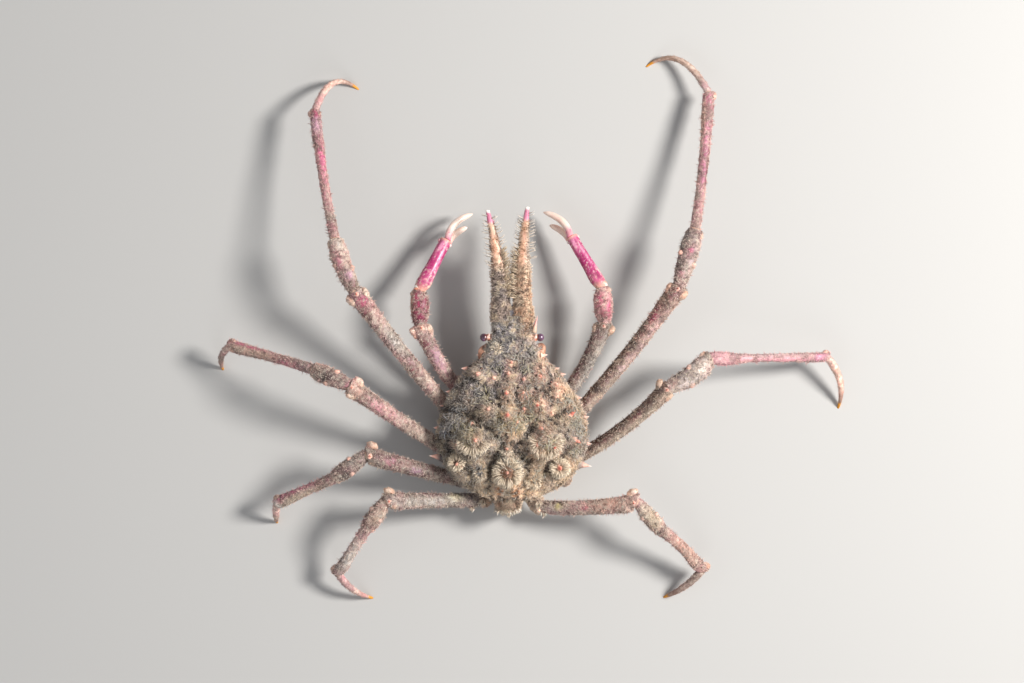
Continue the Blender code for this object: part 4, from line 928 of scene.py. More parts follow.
def scatter(grid, number, weight, atlas=WHOLE_MAP):
    """Random places on a grid: point, normal, row and column as parts of one, and map place."""
    points = grid.points
    rows, columns = points.shape[:2]
    one = np.roll(points, -1, 1)[:-1] - points[:-1]
    two = points[1:] - points[:-1]
    area = (np.linalg.norm(np.cross(one, two), axis=-1) * weight[:-1]).ravel()
    cells = RANDOM.choice(len(area), number, p=area / area.sum())
    row, column = np.divmod(cells, columns)
    u, v = RANDOM.random((2, number))
    nearby = ((row, column, (1 - u) * (1 - v)), (row, (column + 1) % columns, u * (1 - v)),
              (row + 1, column, (1 - u) * v), (row + 1, (column + 1) % columns, u * v))
    place = sum(points[r, c] * w[:, None] for r, c, w in nearby)
    normal = unit(sum(grid.normals[r, c] * w[:, None] for r, c, w in nearby))
    part = np.stack(((column + u) / columns, (row + v) / (rows - 1)), -1)
    low, high = np.array(atlas[:2]), np.array(atlas[2:])
    return place, normal, part, low + (high - low) * part


def smooth_profile(profile, t):
    """The profile's value with its corners rounded off."""
    places, values = zip(*profile)
    return sum(np.interp(t + shift, places, values) for shift in (-0.04, -0.02, 0, 0.02, 0.04)) / 5


def tube(bend, planes, profile, girth, rows, columns, squash=LIMB_SQUASH):
    """A fine limb skin on a bent axis, whose ends lie in the planes shared with its neighbours."""
    t = np.linspace(0, 1, rows)
    centre = bend_point(bend, t)[:, None]
    along = bend_along(bend, t)[:, None]
    side = left_of(along)
    over = np.cross(along, side)
    angle = round_turns(columns)[None, :, None]
    wide = (smooth_profile(profile, t) * girth)[:, None, None]
    out = side * np.cos(angle) * wide + over * np.sin(angle) * wide * squash
    near = np.maximum(0, 1 - t / MITRE_REACH)[:, None, None]
    far = np.maximum(0, 1 - (1 - t) / MITRE_REACH)[:, None, None]
    slide = 0
    for share, plane in ((near, planes[0]), (far, planes[1])):
        slide = slide - share * (out * plane).sum(-1, keepdims=True) / (along * plane).sum(-1, keepdims=True)
    return Grid(centre + out + along * slide)


def straight_tube(start, end, profile, girth, rows, columns):
    """A round tube on a straight axis."""
    along = unit(end - start)
    return tube((start, (start + end) / 2, end), (along, along), profile, girth, rows, columns, 1)


def ball(centre, radii, rows=12, columns=18, rough=0.0, axis=(0, 0, 1)):
    """A rounded knob with granules."""
    axis = unit(np.array(axis, float))
    side = unit(np.cross(axis, (0.3, 0.9, 0.2)))
    over = np.cross(axis, side)
    polar = np.linspace(0.12, math.pi - 0.12, rows)[:, None, None]
    turn = round_turns(columns)[None, :, None]
    radii = np.broadcast_to(radii, (3,))
    out = side * np.sin(polar) * np.cos(turn) * radii[0] + over * np.sin(polar) * np.sin(turn) * radii[1]
    grid = Grid(np.array(centre) + out - axis * np.cos(polar) * radii[2])
    if rough:
        grid.swell(noise(grid.points, radii.mean() * 0.55, 3) * rough)
    return grid


def thorn(root, aim, length, girth, rows=9, columns=14, foot=SPINE_ROOT):
    """A spine with a broad foot and a rounded point."""
    aim = unit(np.array(aim, float))
    side = unit(np.cross(aim, (0.31, 0.87, 0.2)))
    over = np.cross(aim, side)
    t = np.linspace(0, 1, rows)[:, None, None]
    turn = round_turns(columns)[None, :, None]
    wide = girth * (1.25 * (1 - t) ** 1.5 + 0.3 * np.sqrt(np.maximum(1 - t, 0)) + 0.02)
    out = (side * np.cos(turn) + over * np.sin(turn)) * wide
    return Grid(np.array(root) - aim * foot + aim * t * (length + foot) + out)


def thorn_tint(grid, foot_tint, point_tint, end_tint):
    """A spine's colours from its foot to its point."""
    t = along_and_round(*grid.points.shape[:2])[0]
    colour = mix(foot_tint, point_tint, blend(0.25, 0.6, t))
    return mix(colour, end_tint, blend(0.75, 1.0, t))


def shell_ground(points, x, y):
    """The shell's broad colours: its ground, its stains, painted shade in its hollows and along its left
    edge, and the halos of its tubercles.
    """
    warm = np.clip(0.45 + 0.9 * fractal(points, 4.0, 1) + 0.02 * x - 0.01 * y, 0, 1)
    colour = mix(mix(GREY, BLUE_GREY, 0.45) * 0.85, TAN, warm)
    # Stains, and the painted shade in the hollows and along the left edge.
    for stain_or_shade in STAINS_AND_SHADE:
        near = spot(x, y, stain_or_shade, stain_or_shade.spread)
        broken = np.clip(near * (1 + 0.9 * noise(points, 1.2, 4)), 0, 1)
        colour = mix(colour, stain_or_shade.colour, stain_or_shade.strength * broken)
    for spine in TUBERCLES:
        near = spot(x, y, spine, TUBERCLE_HALO)
        colour = mix(colour, PALE_CORAL, (0.35 + 0.3 * (spine.glow > 0.4)) * near)
    return colour


def shell_tint(points, part=None):
    """The markings of the shell, with painted highlight on its raised places, painted shade in its hollows
    and grooves and painted light from the right, for its skin and its coat alike.
    """
    x, y = points[..., 0], points[..., 1]
    fine = fractal(points, 0.9, 9)
    colour = mix(shell_ground(points, x, y), CREAM, np.clip((fine - 0.12) * 2.3, 0, 0.7))
    # Raised places are paled as painted highlight.
    raised = relief(x, y)
    colour = mix(colour, CREAM, np.clip(raised * 0.3, 0, 0.3))
    for rosette in FULL_ROSETTES:
        away = np.hypot(x - rosette.x, y - rosette.y)
        middle = 1 - blend(rosette.inner * 0.7, rosette.inner * 1.5, away)
        colour = mix(colour, BROWN * 0.8, 0.85 * middle)
    # Painted shade, with some dirt, darkens the hollows and grooves, along with random dark specks; the
    # middles of the rear pits are painted dark as shade.
    deep = np.clip(-raised * 0.7 + 0.7 * groove_depth(x, y) + (-fine - 0.08) * 2.0, 0, 0.88)
    for pit in REAR_PITS:
        away = np.hypot(x - pit[0], y - pit[1])
        colour = mix(colour, ORANGE, 0.8 * bell(away - 0.75, 0.3))
        deep = np.maximum(deep, 0.9 * bell(away, 0.55))
    plain = colour.mean(-1, keepdims=True)
    colour = np.maximum(plain + (colour - plain) * SHELL_VIVID, 0.02)
    # Painted light makes the left side darker, away from the light; the shell is also brighter towards the
    # rear, and noise makes its brightness wander.
    light = 1.16 + 0.026 * np.clip(x, -14, 3) + 0.28 * blend(-7, -12, y)
    light = light * np.clip(1 + 0.9 * fractal(points, 2.4, 17), 0.45, 1.6)
    return mix(colour * light[..., None], DARK, deep)


def limb_trend(name, points, t, angle, kind, seed):
    """A limb piece's broad colours and patches, with painted highlights and painted light and shade along
    some sides, and how much bare shell they show.
    """
    trend = stir(BEIGE, GREY, 0.35, 0.9 * fractal(points, 3.4, seed + 3))
    trend = trend * (0.8 + 0.5 * fractal(points, 5.0, seed + 6))[..., None]
    pink = PINKNESS.get(name, PINKNESS[kind])
    trend = mix(trend, PINK, np.clip(pink + 0.7 * fractal(points, 2.4, seed), 0, 0.85))
    show = np.full(t.shape, 0.5 - 0.5 * VELVET.get(name, VELVET[kind]))
    for patch in table(Patch, *PATCHES.get(name, ())):
        turned = (angle - patch.turn + 180) % 360 - 180
        near = np.exp(-((t - patch.t) / patch.reach) ** 2 - (turned / patch.width) ** 2)
        near = np.clip(near * (1.15 + 0.7 * fractal(points, 1.1, seed + 14)), 0, 1)
        trend = mix(trend, patch.colour, 0.8 * near)
        show = np.maximum(show, (0.6 if patch.colour.mean() < DUST_AND_LIGHT_LEVEL else 0.3) * near)
    return trend, show


def limb_tint(name, points, t, angle):
    """The markings of a limb piece, with painted light and shade on some sides: its velvet's colour, its bare
    shell's colour, and how bare it is.
    """
    kind = name.split("_")[-1]
    seed = sum(map(ord, name)) % 50
    trend, show = limb_trend(name, points, t, angle, kind, seed)
    grain = fractal(points, 0.55, seed + 9, 2) * SPECKLED.get(name, 1)
    bare = blend(-0.1, 0.3, show - 0.42 - 0.8 * grain)
    shell = mix(trend, DARK, np.clip((-grain - 0.1) * 0.6, 0, 0.4))
    speck = fractal(points, 0.55, seed + 21, 2) * SPECKLED.get(name, SPECKLED.get(kind, 1))
    light = np.clip(1.05 + 0.6 * fractal(points, 2.8, seed + 24), 0.75, 1.35)[..., None]
    fuzz = mix(mix(trend, BEIGE, 0.3), mix(CREAM, WHITE, 0.5), np.clip(0.15 + speck, 0, 0.85))
    fuzz = mix(fuzz, mix(DARK, GREY, 0.2), np.clip((-speck - 0.16) * 1.9, 0, 0.6)) * light
    shade = LIMB_SHADE.get(name, 1.0) * (BROWN_CAST if name in CAST_PIECES else 1)
    return fuzz * shade, shell * shade, bare


def add_math(nodes, links, operation, one, two):
    made = nodes.new("ShaderNodeMath")
    made.operation = operation
    for socket, value in zip(made.inputs, (one, two)):
        if isinstance(value, (int, float)):
            socket.default_value = value
        else:
            links.new(value, socket)
    return made.outputs[0]


def add_noise(nodes, links, place, size, detail=3.0):
    """Procedural noise whose features are about this many millimetres across."""
    made = nodes.new("ShaderNodeTexNoise")
    made.inputs["Scale"].default_value = 1 / (size * MM)
    made.inputs["Detail"].default_value = detail
    links.new(place, made.inputs["Vector"])
    return made.outputs["Fac"]


def add_attribute(nodes, name, output):
    made = nodes.new("ShaderNodeAttribute")
    made.attribute_name = name
    return made.outputs[output]


def add_range(nodes, links, value, low, high, ends=(0.0, 1.0)):
    """Maps a value between two ends to one between low and high."""
    made = nodes.new("ShaderNodeMapRange")
    for socket, number in zip(("From Min", "From Max", "To Min", "To Max"), (*ends, low, high)):
        made.inputs[socket].default_value = number
    links.new(value, made.inputs["Value"])
    return made.outputs["Result"]


def surface(name, rough, bare_rough, bump, grain=0.35, mottle=0.3, gloss=0.0, sheen=0.0):
    """A shell or coat material: its tint is broken up, roughened and raised by noise."""
    material = bpy.data.materials.new(name)
    material.use_nodes = True
    tree = material.node_tree
    nodes, links, shader = tree.nodes, tree.links, tree.nodes["Principled BSDF"]
    place = nodes.new("ShaderNodeTexCoord").outputs["Object"]
    fine = add_noise(nodes, links, place, grain)
    both = add_math(nodes, links, "ADD", fine, add_noise(nodes, links, place, grain * 4))
    scaled = nodes.new("ShaderNodeVectorMath")
    scaled.operation = "SCALE"
    links.new(add_attribute(nodes, "Tint", "Color"), scaled.inputs[0])
    links.new(add_range(nodes, links, both, 1 - mottle, 1 + mottle, (0.6, 1.4)), scaled.inputs["Scale"])
    links.new(scaled.outputs["Vector"], shader.inputs["Base Color"])
    span = add_range(nodes, links, add_attribute(nodes, "Bare", "Fac"), rough, bare_rough)
    spread = add_math(nodes, links, "MULTIPLY", fine, 0.25)
    links.new(add_math(nodes, links, "ADD", span, spread), shader.inputs["Roughness"])
    if bump:
        raised = nodes.new("ShaderNodeBump")
        raised.inputs["Strength"].default_value = bump
        raised.inputs["Distance"].default_value = grain * MM * 0.4
        links.new(fine, raised.inputs["Height"])
        links.new(raised.outputs["Normal"], shader.inputs["Normal"])
    shader.inputs["Coat Weight"].default_value = gloss
    shader.inputs["Coat Roughness"].default_value = 0.15
    shader.inputs["Sheen Weight"].default_value = sheen
    return material


SHELL_MATERIAL = surface("velvet_shell", 0.75, 0.3, 0.6)
LIMB_MATERIAL = surface("limb_shell", 0.7, 0.34, 0.45, grain=0.28)
HORN_MATERIAL = surface("horn_shell", 0.6, 0.35, 0.35, grain=0.3)
BELLY_MATERIAL = surface("belly_shell", 0.5, 0.35, 0.3, grain=0.5, mottle=0.2)
PALM_MATERIAL = surface("claw_shell", 0.5, 0.34, 0.3, grain=0.35, mottle=0.2, gloss=0.12)
FINGER_MATERIAL = surface("finger_shell", 0.3, 0.2, 0.08, grain=0.5, mottle=0.08, gloss=0.3)
STALK_MATERIAL = surface("eyestalk_shell", 0.4, 0.3, 0.3, grain=0.2)
EYE_MATERIAL = surface("cornea", 0.05, 0.05, 0.12, grain=0.09, mottle=0.25, gloss=1.0)
COAT_MATERIAL = surface("velvet", 0.55, 0.5, 0, grain=0.5, mottle=0.2, sheen=0.06)
BRISTLE_MATERIAL = surface("bristle", 0.4, 0.4, 0, grain=0.4, mottle=0.15)


def shell_grid():
    """The shell's skin: the domed top, then the sloping underside back to the first edge."""
    y = SHELL_REAR + (SHELL_FRONT - SHELL_REAR) * np.linspace(0, 1, SHELL_ROWS) ** 1.06
    y = y[:, None]
    wide = shell_half_width(y)
    t = np.linspace(-1, 1, SHELL_TOP_COLUMNS)[None]
    x = wide * (0.6 * t + 0.4 * np.sin(t * math.pi / 2))
    top = shell_point(x, y + 0 * x)
    under = np.linspace(1, -1, SHELL_COLUMNS - SHELL_TOP_COLUMNS + 2)[1:-1][None]
    drop = np.interp(np.abs(under), (0, 0.52, 0.85, 1), (1, 1, 0.5, 0))
    x = wide * under
    edge = shell_edge(y)
    low = np.stack(np.broadcast_arrays(x, y, edge + (shell_belly(y) - edge) * drop), -1)
    grid = Grid(np.concatenate((top, low), 1))
    points = grid.points
    upper = np.zeros(points.shape[:2])
    upper[:, :SHELL_TOP_COLUMNS] = 1
    detail = 0.24 * fractal(points, 2.0, 21) + 0.16 * fractal(points, 0.8, 31, 2)
    ends = blend(0, 0.8, points[..., 1] - SHELL_REAR) * blend(0, 0.3, SHELL_FRONT - points[..., 1])
    grid.swell((detail - COAT_DEPTH) * ends * (0.3 + 0.7 * upper))
    return grid, upper


def swirl(points, normals, seed, size=2.5):
    """Directions over the surface that wander from place to place."""
    turn = noise(points, size, seed) * 3.0
    side = unit(np.cross(normals, (0.0, 1.0, 0.05)))
    ahead = np.cross(normals, side)
    return side * np.cos(turn)[:, None] + ahead * np.sin(turn)[:, None]


def shell_maps(x, y):
    """Place on the bake map of a point over the shell's top."""
    across = np.clip(x / (2 * shell_half_width(y)) + 0.5, 0, 1)
    ahead = (y - SHELL_REAR) / (SHELL_FRONT - SHELL_REAR)
    return np.stack((across, ahead), -1) * (1 - 2 * MAP_MARGIN) + MAP_MARGIN


def add_velvet(piece, grid, number, weight, length, girth, tint_of, lean=0.8, steps=2, atlas=WHOLE_MAP,
               mixed=0.5):
    """Short leaning bristles over a skin, in its own colours, dark at the foot and pale at the tip."""
    place, normal, part, maps = scatter(grid, number, weight, atlas)
    toward = swirl(place, normal, 51, 1.6)
    aims = normal + toward * lean * RANDOM.uniform(0.2, 1, (number, 1))
    tints = tint_of(place, part) * RANDOM.uniform(1 - mixed, 1 + 1.2 * mixed, (number, 1))
    sizes = RANDOM.uniform(0.6, 1.3, number)
    bright = np.where(RANDOM.random(number) < 0.4 * mixed, RANDOM.uniform(1.3, 2.6, number), 1.0)
    tips = mix(tints * TIP_GAIN * bright[:, None], CREAM, RANDOM.uniform(0, 0.25, number))
    coat(piece, place, aims, toward, length * sizes, girth * sizes, RANDOM.uniform(0.4, 1.9, number),
         tints * 0.6, capped(tips), maps, steps)


def add_clump(piece, clump):
    """A clump of long hooked bristles that curl over."""
    number = clump.count
    x = clump.x + RANDOM.normal(0, clump.spread * 0.55, number)
    y = clump.y + RANDOM.normal(0, clump.spread * 0.55, number)
    x = np.clip(x, -shell_half_width(y) * RIM_PART, shell_half_width(y) * RIM_PART)
    normal = shell_normal(x, y)
    turn = RANDOM.uniform(0, TAU, number)
    toward = level_aims(turn)
    colour = mix(GREY, BLUE_GREY, RANDOM.random(number))
    colour = mix(colour, YELLOW, clump.yellow * RANDOM.uniform(0.3, 1, number))
    colour = colour * RANDOM.uniform(0.8, 1.7, (number, 1))
    length = RANDOM.uniform(1.9, 3.1, number)
    girth = RANDOM.uniform(0.1, 0.14, number)
    curl = RANDOM.uniform(2.0, 4.6, number)
    tips = capped(mix(colour, WHITE, RANDOM.uniform(0.2, 0.7, number)))
    coat(piece, shell_point(x, y) - normal * COAT_DEPTH * 0.5, normal + toward * 0.9, toward - normal * 0.3,
         length, girth, curl, colour * 0.45, tips, shell_maps(x, y), 6, 1.0, taper=1.5)


def add_rosette(piece, rosette):
    """Rings of thick pale bristles that splay out over a boss, as a full rosette or as a ragged rim."""
    full = rosette in FULL_ROSETTES
    band = rosette.outer - rosette.inner
    for part, rise in ROSETTE_RINGS:
        ring = rosette.inner + band * part * (1 if full else 1.2) - (0 if full else 0.25)
        spacing = (0.22 if part else 0.5) if full else 0.27
        length = band * (1 - part) + (0.25 if full else 0.6)
        add_ring(piece, rosette, full, ring, spacing, length, rise)


def add_ring(piece, rosette, full, ring, spacing, length, rise):
    """One ring of a rosette's bristles."""
    span = math.radians(rosette.last - rosette.first)
    number = int(ring * span / spacing) + 3
    turn = span * (np.arange(number) + RANDOM.uniform(-0.5, 0.5, number)) / number
    turn = math.radians(rosette.first) + turn
    away = level_aims(turn)
    reach = ring + RANDOM.uniform(-1, 1, number) * (0.14 if full else 0.35)
    x, y = rosette.x + away[:, 0] * reach, rosette.y + away[:, 1] * reach
    inside = np.abs(x) < shell_half_width(y) * RIM_PART
    x, y, away = x[inside], y[inside], away[inside]
    number = len(x)
    normal = shell_normal(x, y)
    colour = mix(CREAM, ROSETTE_CREAM, RANDOM.uniform(0.3, 1, number))
    colour = mix(colour, TAN, RANDOM.uniform(0, 0.3, number)) * RANDOM.uniform(0.65, 1.2, (number, 1))
    if not full:
        colour = mix(colour, shell_tint(shell_point(x, y)), RANDOM.uniform(0, 0.5, number))
    length = length * RANDOM.uniform(0.5, 1.25, number)
    aims = away + normal * rise * rosette.rise * 1.4 + RANDOM.uniform(-0.42, 0.42, (number, 3))
    girth = RANDOM.uniform(0.11, 0.19, number)
    curl = RANDOM.uniform(-0.3, 0.5, number)
    tips = capped(mix(colour * 1.5, WHITE, 0.35), 0.97)
    coat(piece, shell_point(x, y) - normal * COAT_DEPTH, aims, normal - away * 0.2, length, girth, curl,
         mix(colour, BROWN * 0.6, 0.6), tips, shell_maps(x, y), 4, 1.2, 1.2, 2.5)


def add_tubercles(skin):
    """The knobs of the shell, each with a coral bead, its edge spines and the spine of the brow."""
    for spine in TUBERCLES:
        root = shell_point(spine.x, spine.y)
        raised = thorn(root - shell_normal(spine.x, spine.y) * COAT_DEPTH, spine.aim, spine.length + 0.2,
                       spine.girth * 1.15)
        flesh = mix(shell_tint(root), PALE_CORAL, 0.55)
        glow = mix(flesh, CORAL, spine.glow)
        skin.add_grid(raised, thorn_tint(raised, flesh, glow, glow), 0.6)
        centre = root + unit(np.array(spine.aim, float)) * (spine.length * 0.5 - 0.2)
        bead = ball(centre, spine.girth * 0.6, 12, 18, 0.04)
        skin.add_grid(bead, stir(glow, flesh, 0.3, noise(bead.points, 0.6, 6)), 0.7)
    for spine in EDGE_SPINES:
        root = np.array((spine.side * (shell_half_width(spine.y) - 0.15), spine.y, shell_edge(spine.y) + 0.5))
        raised = thorn(root, spine.aim, spine.length, spine.girth)
        skin.add_grid(raised, thorn_tint(raised, shell_tint(root), PALE_CORAL, WHITE), 0.8)
    brow = thorn((BROW_SPINE.x, BROW_SPINE.y, NECK_EDGE_HEIGHT), BROW_SPINE.aim, BROW_SPINE.length,
                 BROW_SPINE.girth)
    skin.add_grid(brow, thorn_tint(brow, TAN, mix(PALE_CORAL, PINK, 0.5), PALE_CORAL), 0.8)


def build_shell():
    """The shell's skin with all its spines, and its coat."""
    skin = Piece("shell_skin")
    grid, upper = shell_grid()
    # The skin under the coat is darkened as painted shade between the tufts.
    skin.add_grid(grid, shell_tint(grid.points) * 0.62, 0.1)
    add_tubercles(skin)
    add_small_tubercles(skin)
    tongue = ball((0.15, SHELL_FRONT + 0.2, HORN_HEIGHT - 0.3), TONGUE_RADII, 24, 30, 0.1)
    skin.add_grid(tongue, stir(BLUE_GREY, GREY, 0.5, noise(tongue.points, 1.0, 15)) * 1.2, 0.3)
    for sign in (-1, 1):
        add_orbit(skin, sign)
    skin.build(SHELL_MATERIAL, "shell", "carapace")
    build_shell_coat(grid, upper)


def build_shell_coat(grid, upper):
    """The shell's felt, velvet, hooked bristles and rosettes, each a piece of its own."""
    clear = upper * clear_of_tubercles(grid.points)
    felt = Piece("shell_felt")
    add_velvet(felt, grid, FELT_TUFTS, clear, 0.48, 0.1, shell_tint, mixed=0.22)
    felt.build(COAT_MATERIAL, "shell")

    shaggy = np.clip(0.25 + 1.6 * fractal(grid.points, 2.6, 61), 0.02, 1)
    velvet = Piece("shell_velvet")
    add_velvet(velvet, grid, SHELL_TUFTS, clear * shaggy, 1.1, 0.1, shell_tint)
    add_grit(velvet, grid, SHELL_GRAINS, clear, shell_tint)
    below = (1 - upper) * blend(-0.95, -0.2, grid.normals[..., 2]) + (1 - upper) * 0.12
    add_velvet(velvet, grid, UNDER_SHELL_TUFTS, below, 0.5, 0.09, lambda place, part: shell_tint(place) * 0.8)
    velvet.build(COAT_MATERIAL, "shell")

    hooks = Piece("shell_hooked_bristles")
    for clump in CLUMPS:
        add_clump(hooks, clump)
    add_loose_hooks(hooks, grid, clear)
    hooks.build(BRISTLE_MATERIAL, "shell")

    rosettes = Piece("shell_rosettes")
    for rosette in ROSETTES:
        add_rosette(rosettes, rosette)
    rosettes.build(BRISTLE_MATERIAL, "shell")


def add_grit(piece, grid, number, weight, tint_of, atlas=WHOLE_MAP, lift=0.35):
    """Pale grains caught in the velvet."""
    place, normal, part, maps = scatter(grid, number, weight, atlas)
    size = RANDOM.uniform(0.09, 0.17, number)
    colour = mix(CREAM, WHITE, RANDOM.random(number))
    colour = mix(colour, tint_of(place, part), RANDOM.uniform(0, 0.7, number))
    roots = place + normal * lift * RANDOM.uniform(0.7, 1.3, (number, 1))
    aims = normal + RANDOM.normal(0, 0.5, (number, 3))
    tips = capped(colour * 1.1, 0.95)
    coat(piece, roots, aims, UP + 0 * normal, size * 1.6, size, 0.2, colour, tips, maps, 1)


def clear_of_tubercles(points):
    """Less velvet on the tubercles, and little in the middle of the rosettes."""
    x, y = points[..., 0], points[..., 1]
    cover = np.ones(x.shape)
    for spine in TUBERCLES:
        away = np.hypot(x - spine.x, y - spine.y)
        cover = cover * blend(spine.girth * 0.5, spine.girth * 1.3, away)
    for rosette in FULL_ROSETTES:
        away = np.hypot(x - rosette.x, y - rosette.y)
        cover = cover * (0.15 + 0.85 * blend(rosette.outer * 0.7, rosette.outer, away))
    return cover


def add_small_tubercles(skin):
    """Granules with coral tips, scattered over the bosses."""
    for boss in BOSSES:
        if boss.height < 0:
            continue
        for _ in range(4):
            turn = RANDOM.uniform(0, TAU)
            reach = boss.spread * RANDOM.uniform(0.35, 0.9)
            x, y = boss.x + reach * math.cos(turn), boss.y + reach * math.sin(turn)
            if abs(x) > shell_half_width(y) * 0.93:
                continue
            root = shell_point(x, y)
            normal = shell_normal(x, y)
            raised = thorn(root - normal * COAT_DEPTH, normal, RANDOM.uniform(0.3, 0.55), 0.36, 7, 10)
            flesh = mix(shell_tint(root), PALE_CORAL, 0.5)
            skin.add_grid(raised, thorn_tint(raised, flesh, mix(flesh, CORAL, 0.4), PALE_CORAL), 0.5)


def add_loose_hooks(piece, grid, clear):
    """Single hooked bristles all over the shell."""
    number = LOOSE_HOOKS
    weight = clear * np.clip(0.6 + 0.9 * noise(grid.points, 2.6, 72), 0.05, 1.5)
    place, normal, part, maps = scatter(grid, number, weight)
    toward = swirl(place, normal, 71, 0.9)
    pale = mix(mix(BLUE_GREY, GREY, RANDOM.random(number)), YELLOW, RANDOM.uniform(0, 0.7, number))
    tints = mix(shell_tint(place), pale, RANDOM.uniform(0.1, 0.8, number))
    length = RANDOM.uniform(0.9, 1.8, number)
    girth = RANDOM.uniform(0.07, 0.105, number)
    curl = RANDOM.uniform(1.4, 3.6, number)
    tips = mix(tints * 1.4, WHITE, RANDOM.uniform(0.2, 0.8, number))
    coat(piece, place, normal + toward * 0.8, toward - normal * 0.2, length, girth, curl, tints * 0.5, tips,
         maps, 4, 1.1)


def add_orbit(skin, sign):
    """The socket of the eyestalk, and the bare cup behind the eye with its hollow."""
    root = np.array((sign * ORBIT_FROM, EYE_Y, EYE_HEIGHT))
    end = np.array((sign * (STALK_FROM - GAP / 2), EYE_Y, EYE_HEIGHT))
    socket = straight_tube(root, end, ((0, 1), (1, 1)), ORBIT_GIRTH, 24, 28)
    socket.swell(0.12 * noise(socket.points, 0.5, 5))
    shade = along_and_round(24, 28)[0]
    rim = stir(BROWN, PALE_CORAL, 0.3, noise(socket.points, 0.5, 12))
    skin.add_grid(socket, mix(shell_tint(socket.points), rim, blend(0.75, 1, shade)), 0.3)
    centre = (sign * (shell_half_width(20.9) - 0.7), CUP_Y, CUP_HEIGHT)
    cup = ball(centre, CUP_RADII, 34, 48, 0.22, (0, 0.3, 1))
    across, ahead = cup.points[..., 0] - sign * HOLLOW_X, cup.points[..., 1] - HOLLOW_Y
    hollow = np.exp(-(across ** 2 / 0.35 + ahead ** 2 / 0.6))
    cup.swell(-0.5 * hollow)
    colour = stir(BROWN, WARM_CORAL, 0.5, 0.9 * noise(cup.points, 0.9, 8))
    # The hollow is darkened with painted shade.
    colour = mix(colour, DARK, 0.8 * hollow)
    inner = blend(7.0, 6.0, np.abs(cup.points[..., 0]))
    skin.add_grid(cup, mix(colour, shell_tint(cup.points), inner), 0.7)


def horn_centre(horn, t):
    x = horn.start + horn.drift * t + horn.sweep * t * t
    y = SHELL_FRONT + GAP / 2 + (horn.length + GAP / 2) * t
    return np.stack(np.broadcast_arrays(x, y, HORN_HEIGHT), -1)


def horn_base(horn, t, angle, broad, fine):
    """The velvet colours of a horn's root: grey on the left horn, tan on the right."""
    if horn.start < 0:
        base, spots, side = mix(GREY * 0.9, TAN * 0.88, 0.5), GREY * 0.8, 0
    else:
        base, spots = mix(TAN, CREAM, 0.3), mix(TAN * 0.9, ORANGE, 0.3)
        side = np.exp(-((angle - 20) / 40) ** 2 - ((t - 0.62) / 0.16) ** 2)
    base = mix(base, spots, np.clip(0.4 - 0.9 * broad, 0, 1))
    base = mix(base, DARK, np.clip((-fine - 0.08) * 2.2, 0, 0.7))
    base = mix(base * 1.15, CREAM, np.clip((fine - 0.1) * 2.4, 0, 0.75))
    return mix(base, mix(GREY, WHITE, 0.5), 0.8 * side)


def horn_tint(horn, points, t, angle):
    """Granular grey and tan at the root, an orange ridge further on, then pink and a pale point."""
    left = horn.start < 0
    broad = fractal(points, 2.2, 3)
    fine = fractal(points, 0.7, 8)
    base = horn_base(horn, t, angle, broad, fine)
    ridge = bell(angle - 90, 58 if left else 44)
    bare = np.clip(ridge * blend(0.42, 0.52, t + 0.05 * broad) * (0.85 + 0.5 * fine), 0, 1)
    core = stir(ORANGE, PALE_CORAL, 0.35, 0.7 * fine) * (1.0 if left else 0.85)
    core = mix(core, CREAM, (0.5 if left else 0.15) * np.clip(0.5 + fractal(points, 1.0, 12), 0, 1))
    colour = mix(base, core, bare)
    end = blend(0.86, 0.9, t)
    colour = mix(colour, mix(HOT_PINK, MAUVE, 0.35 + 0.3 * fine), 0.9 * end)
    return mix(colour, WHITE, blend(0.965, 0.992, t)), np.maximum(bare, end)


def horn_skin(horn):
    """A horn's grid, with the places of its rows, its colours and how bare it is."""
    t = np.linspace(HORN_INSIDE, 1, HORN_ROWS)
    angle = round_turns(HORN_COLUMNS)[None]
    wide = (smooth_profile(HORN_PROFILE, t) * HORN_GIRTH)[:, None]
    out = np.stack((np.cos(angle) * wide, 0 * angle * wide, np.sin(angle) * wide * HORN_SQUASH), -1)
    grid = Grid(horn_centre(horn, t)[:, None] + out)
    tints, bare = horn_tint(horn, grid.points, t[:, None] + 0 * angle, np.degrees(angle) + 0 * wide)
    rough = (1 - 0.75 * bare) * (1 - 0.7 * t)[:, None]
    grid.swell(rough * (0.2 * fractal(grid.points, 1.3, 13) + 0.16 * noise(grid.points, 0.5, 14) - 0.05))
    return grid, t, tints, bare


def build_horn(horn):
    """A horn's skin and its bristles."""
    grid, t, tints, bare = horn_skin(horn)
    skin = Piece(f"horn_{horn.side}_skin")
    skin.add_grid(grid, tints, bare, 0.14)
    if horn.start < 0:
        spinule = thorn(horn_centre(horn, SPINULE_AT), SPINULE_AIM, SPINULE_LENGTH, SPINULE_GIRTH)
        skin.add_grid(spinule, thorn_tint(spinule, HOT_PINK, PALE_CORAL, WHITE), 0.8)
    skin.build(HORN_MATERIAL, "horn", "rostral_spine_" + horn.side)

    def tint_of(place, part):
        return horn_tint(horn, place, HORN_INSIDE + (1 - HORN_INSIDE) * part[:, 1], part[:, 0] * 360)[0]

    bristles = Piece(f"horn_{horn.side}_bristles")
    add_horn_rows(bristles, horn)
    add_horn_net(bristles, horn)
    away = np.clip(1.05 - 1.1 * bare, 0, 1) * (1 - 0.5 * t)[:, None]
    add_velvet(bristles, grid, HORN_TUFTS, away, 0.6, 0.09, tint_of, 1.1, atlas=HORN_MAP)
    short = away * (1 - blend(0.42, 0.55, t))[:, None]
    add_velvet(bristles, grid, HORN_SHAG, short, 1.0, 0.1, tint_of, 0.7, 3, atlas=HORN_MAP)
    bristles.build(BRISTLE_MATERIAL, "horn")


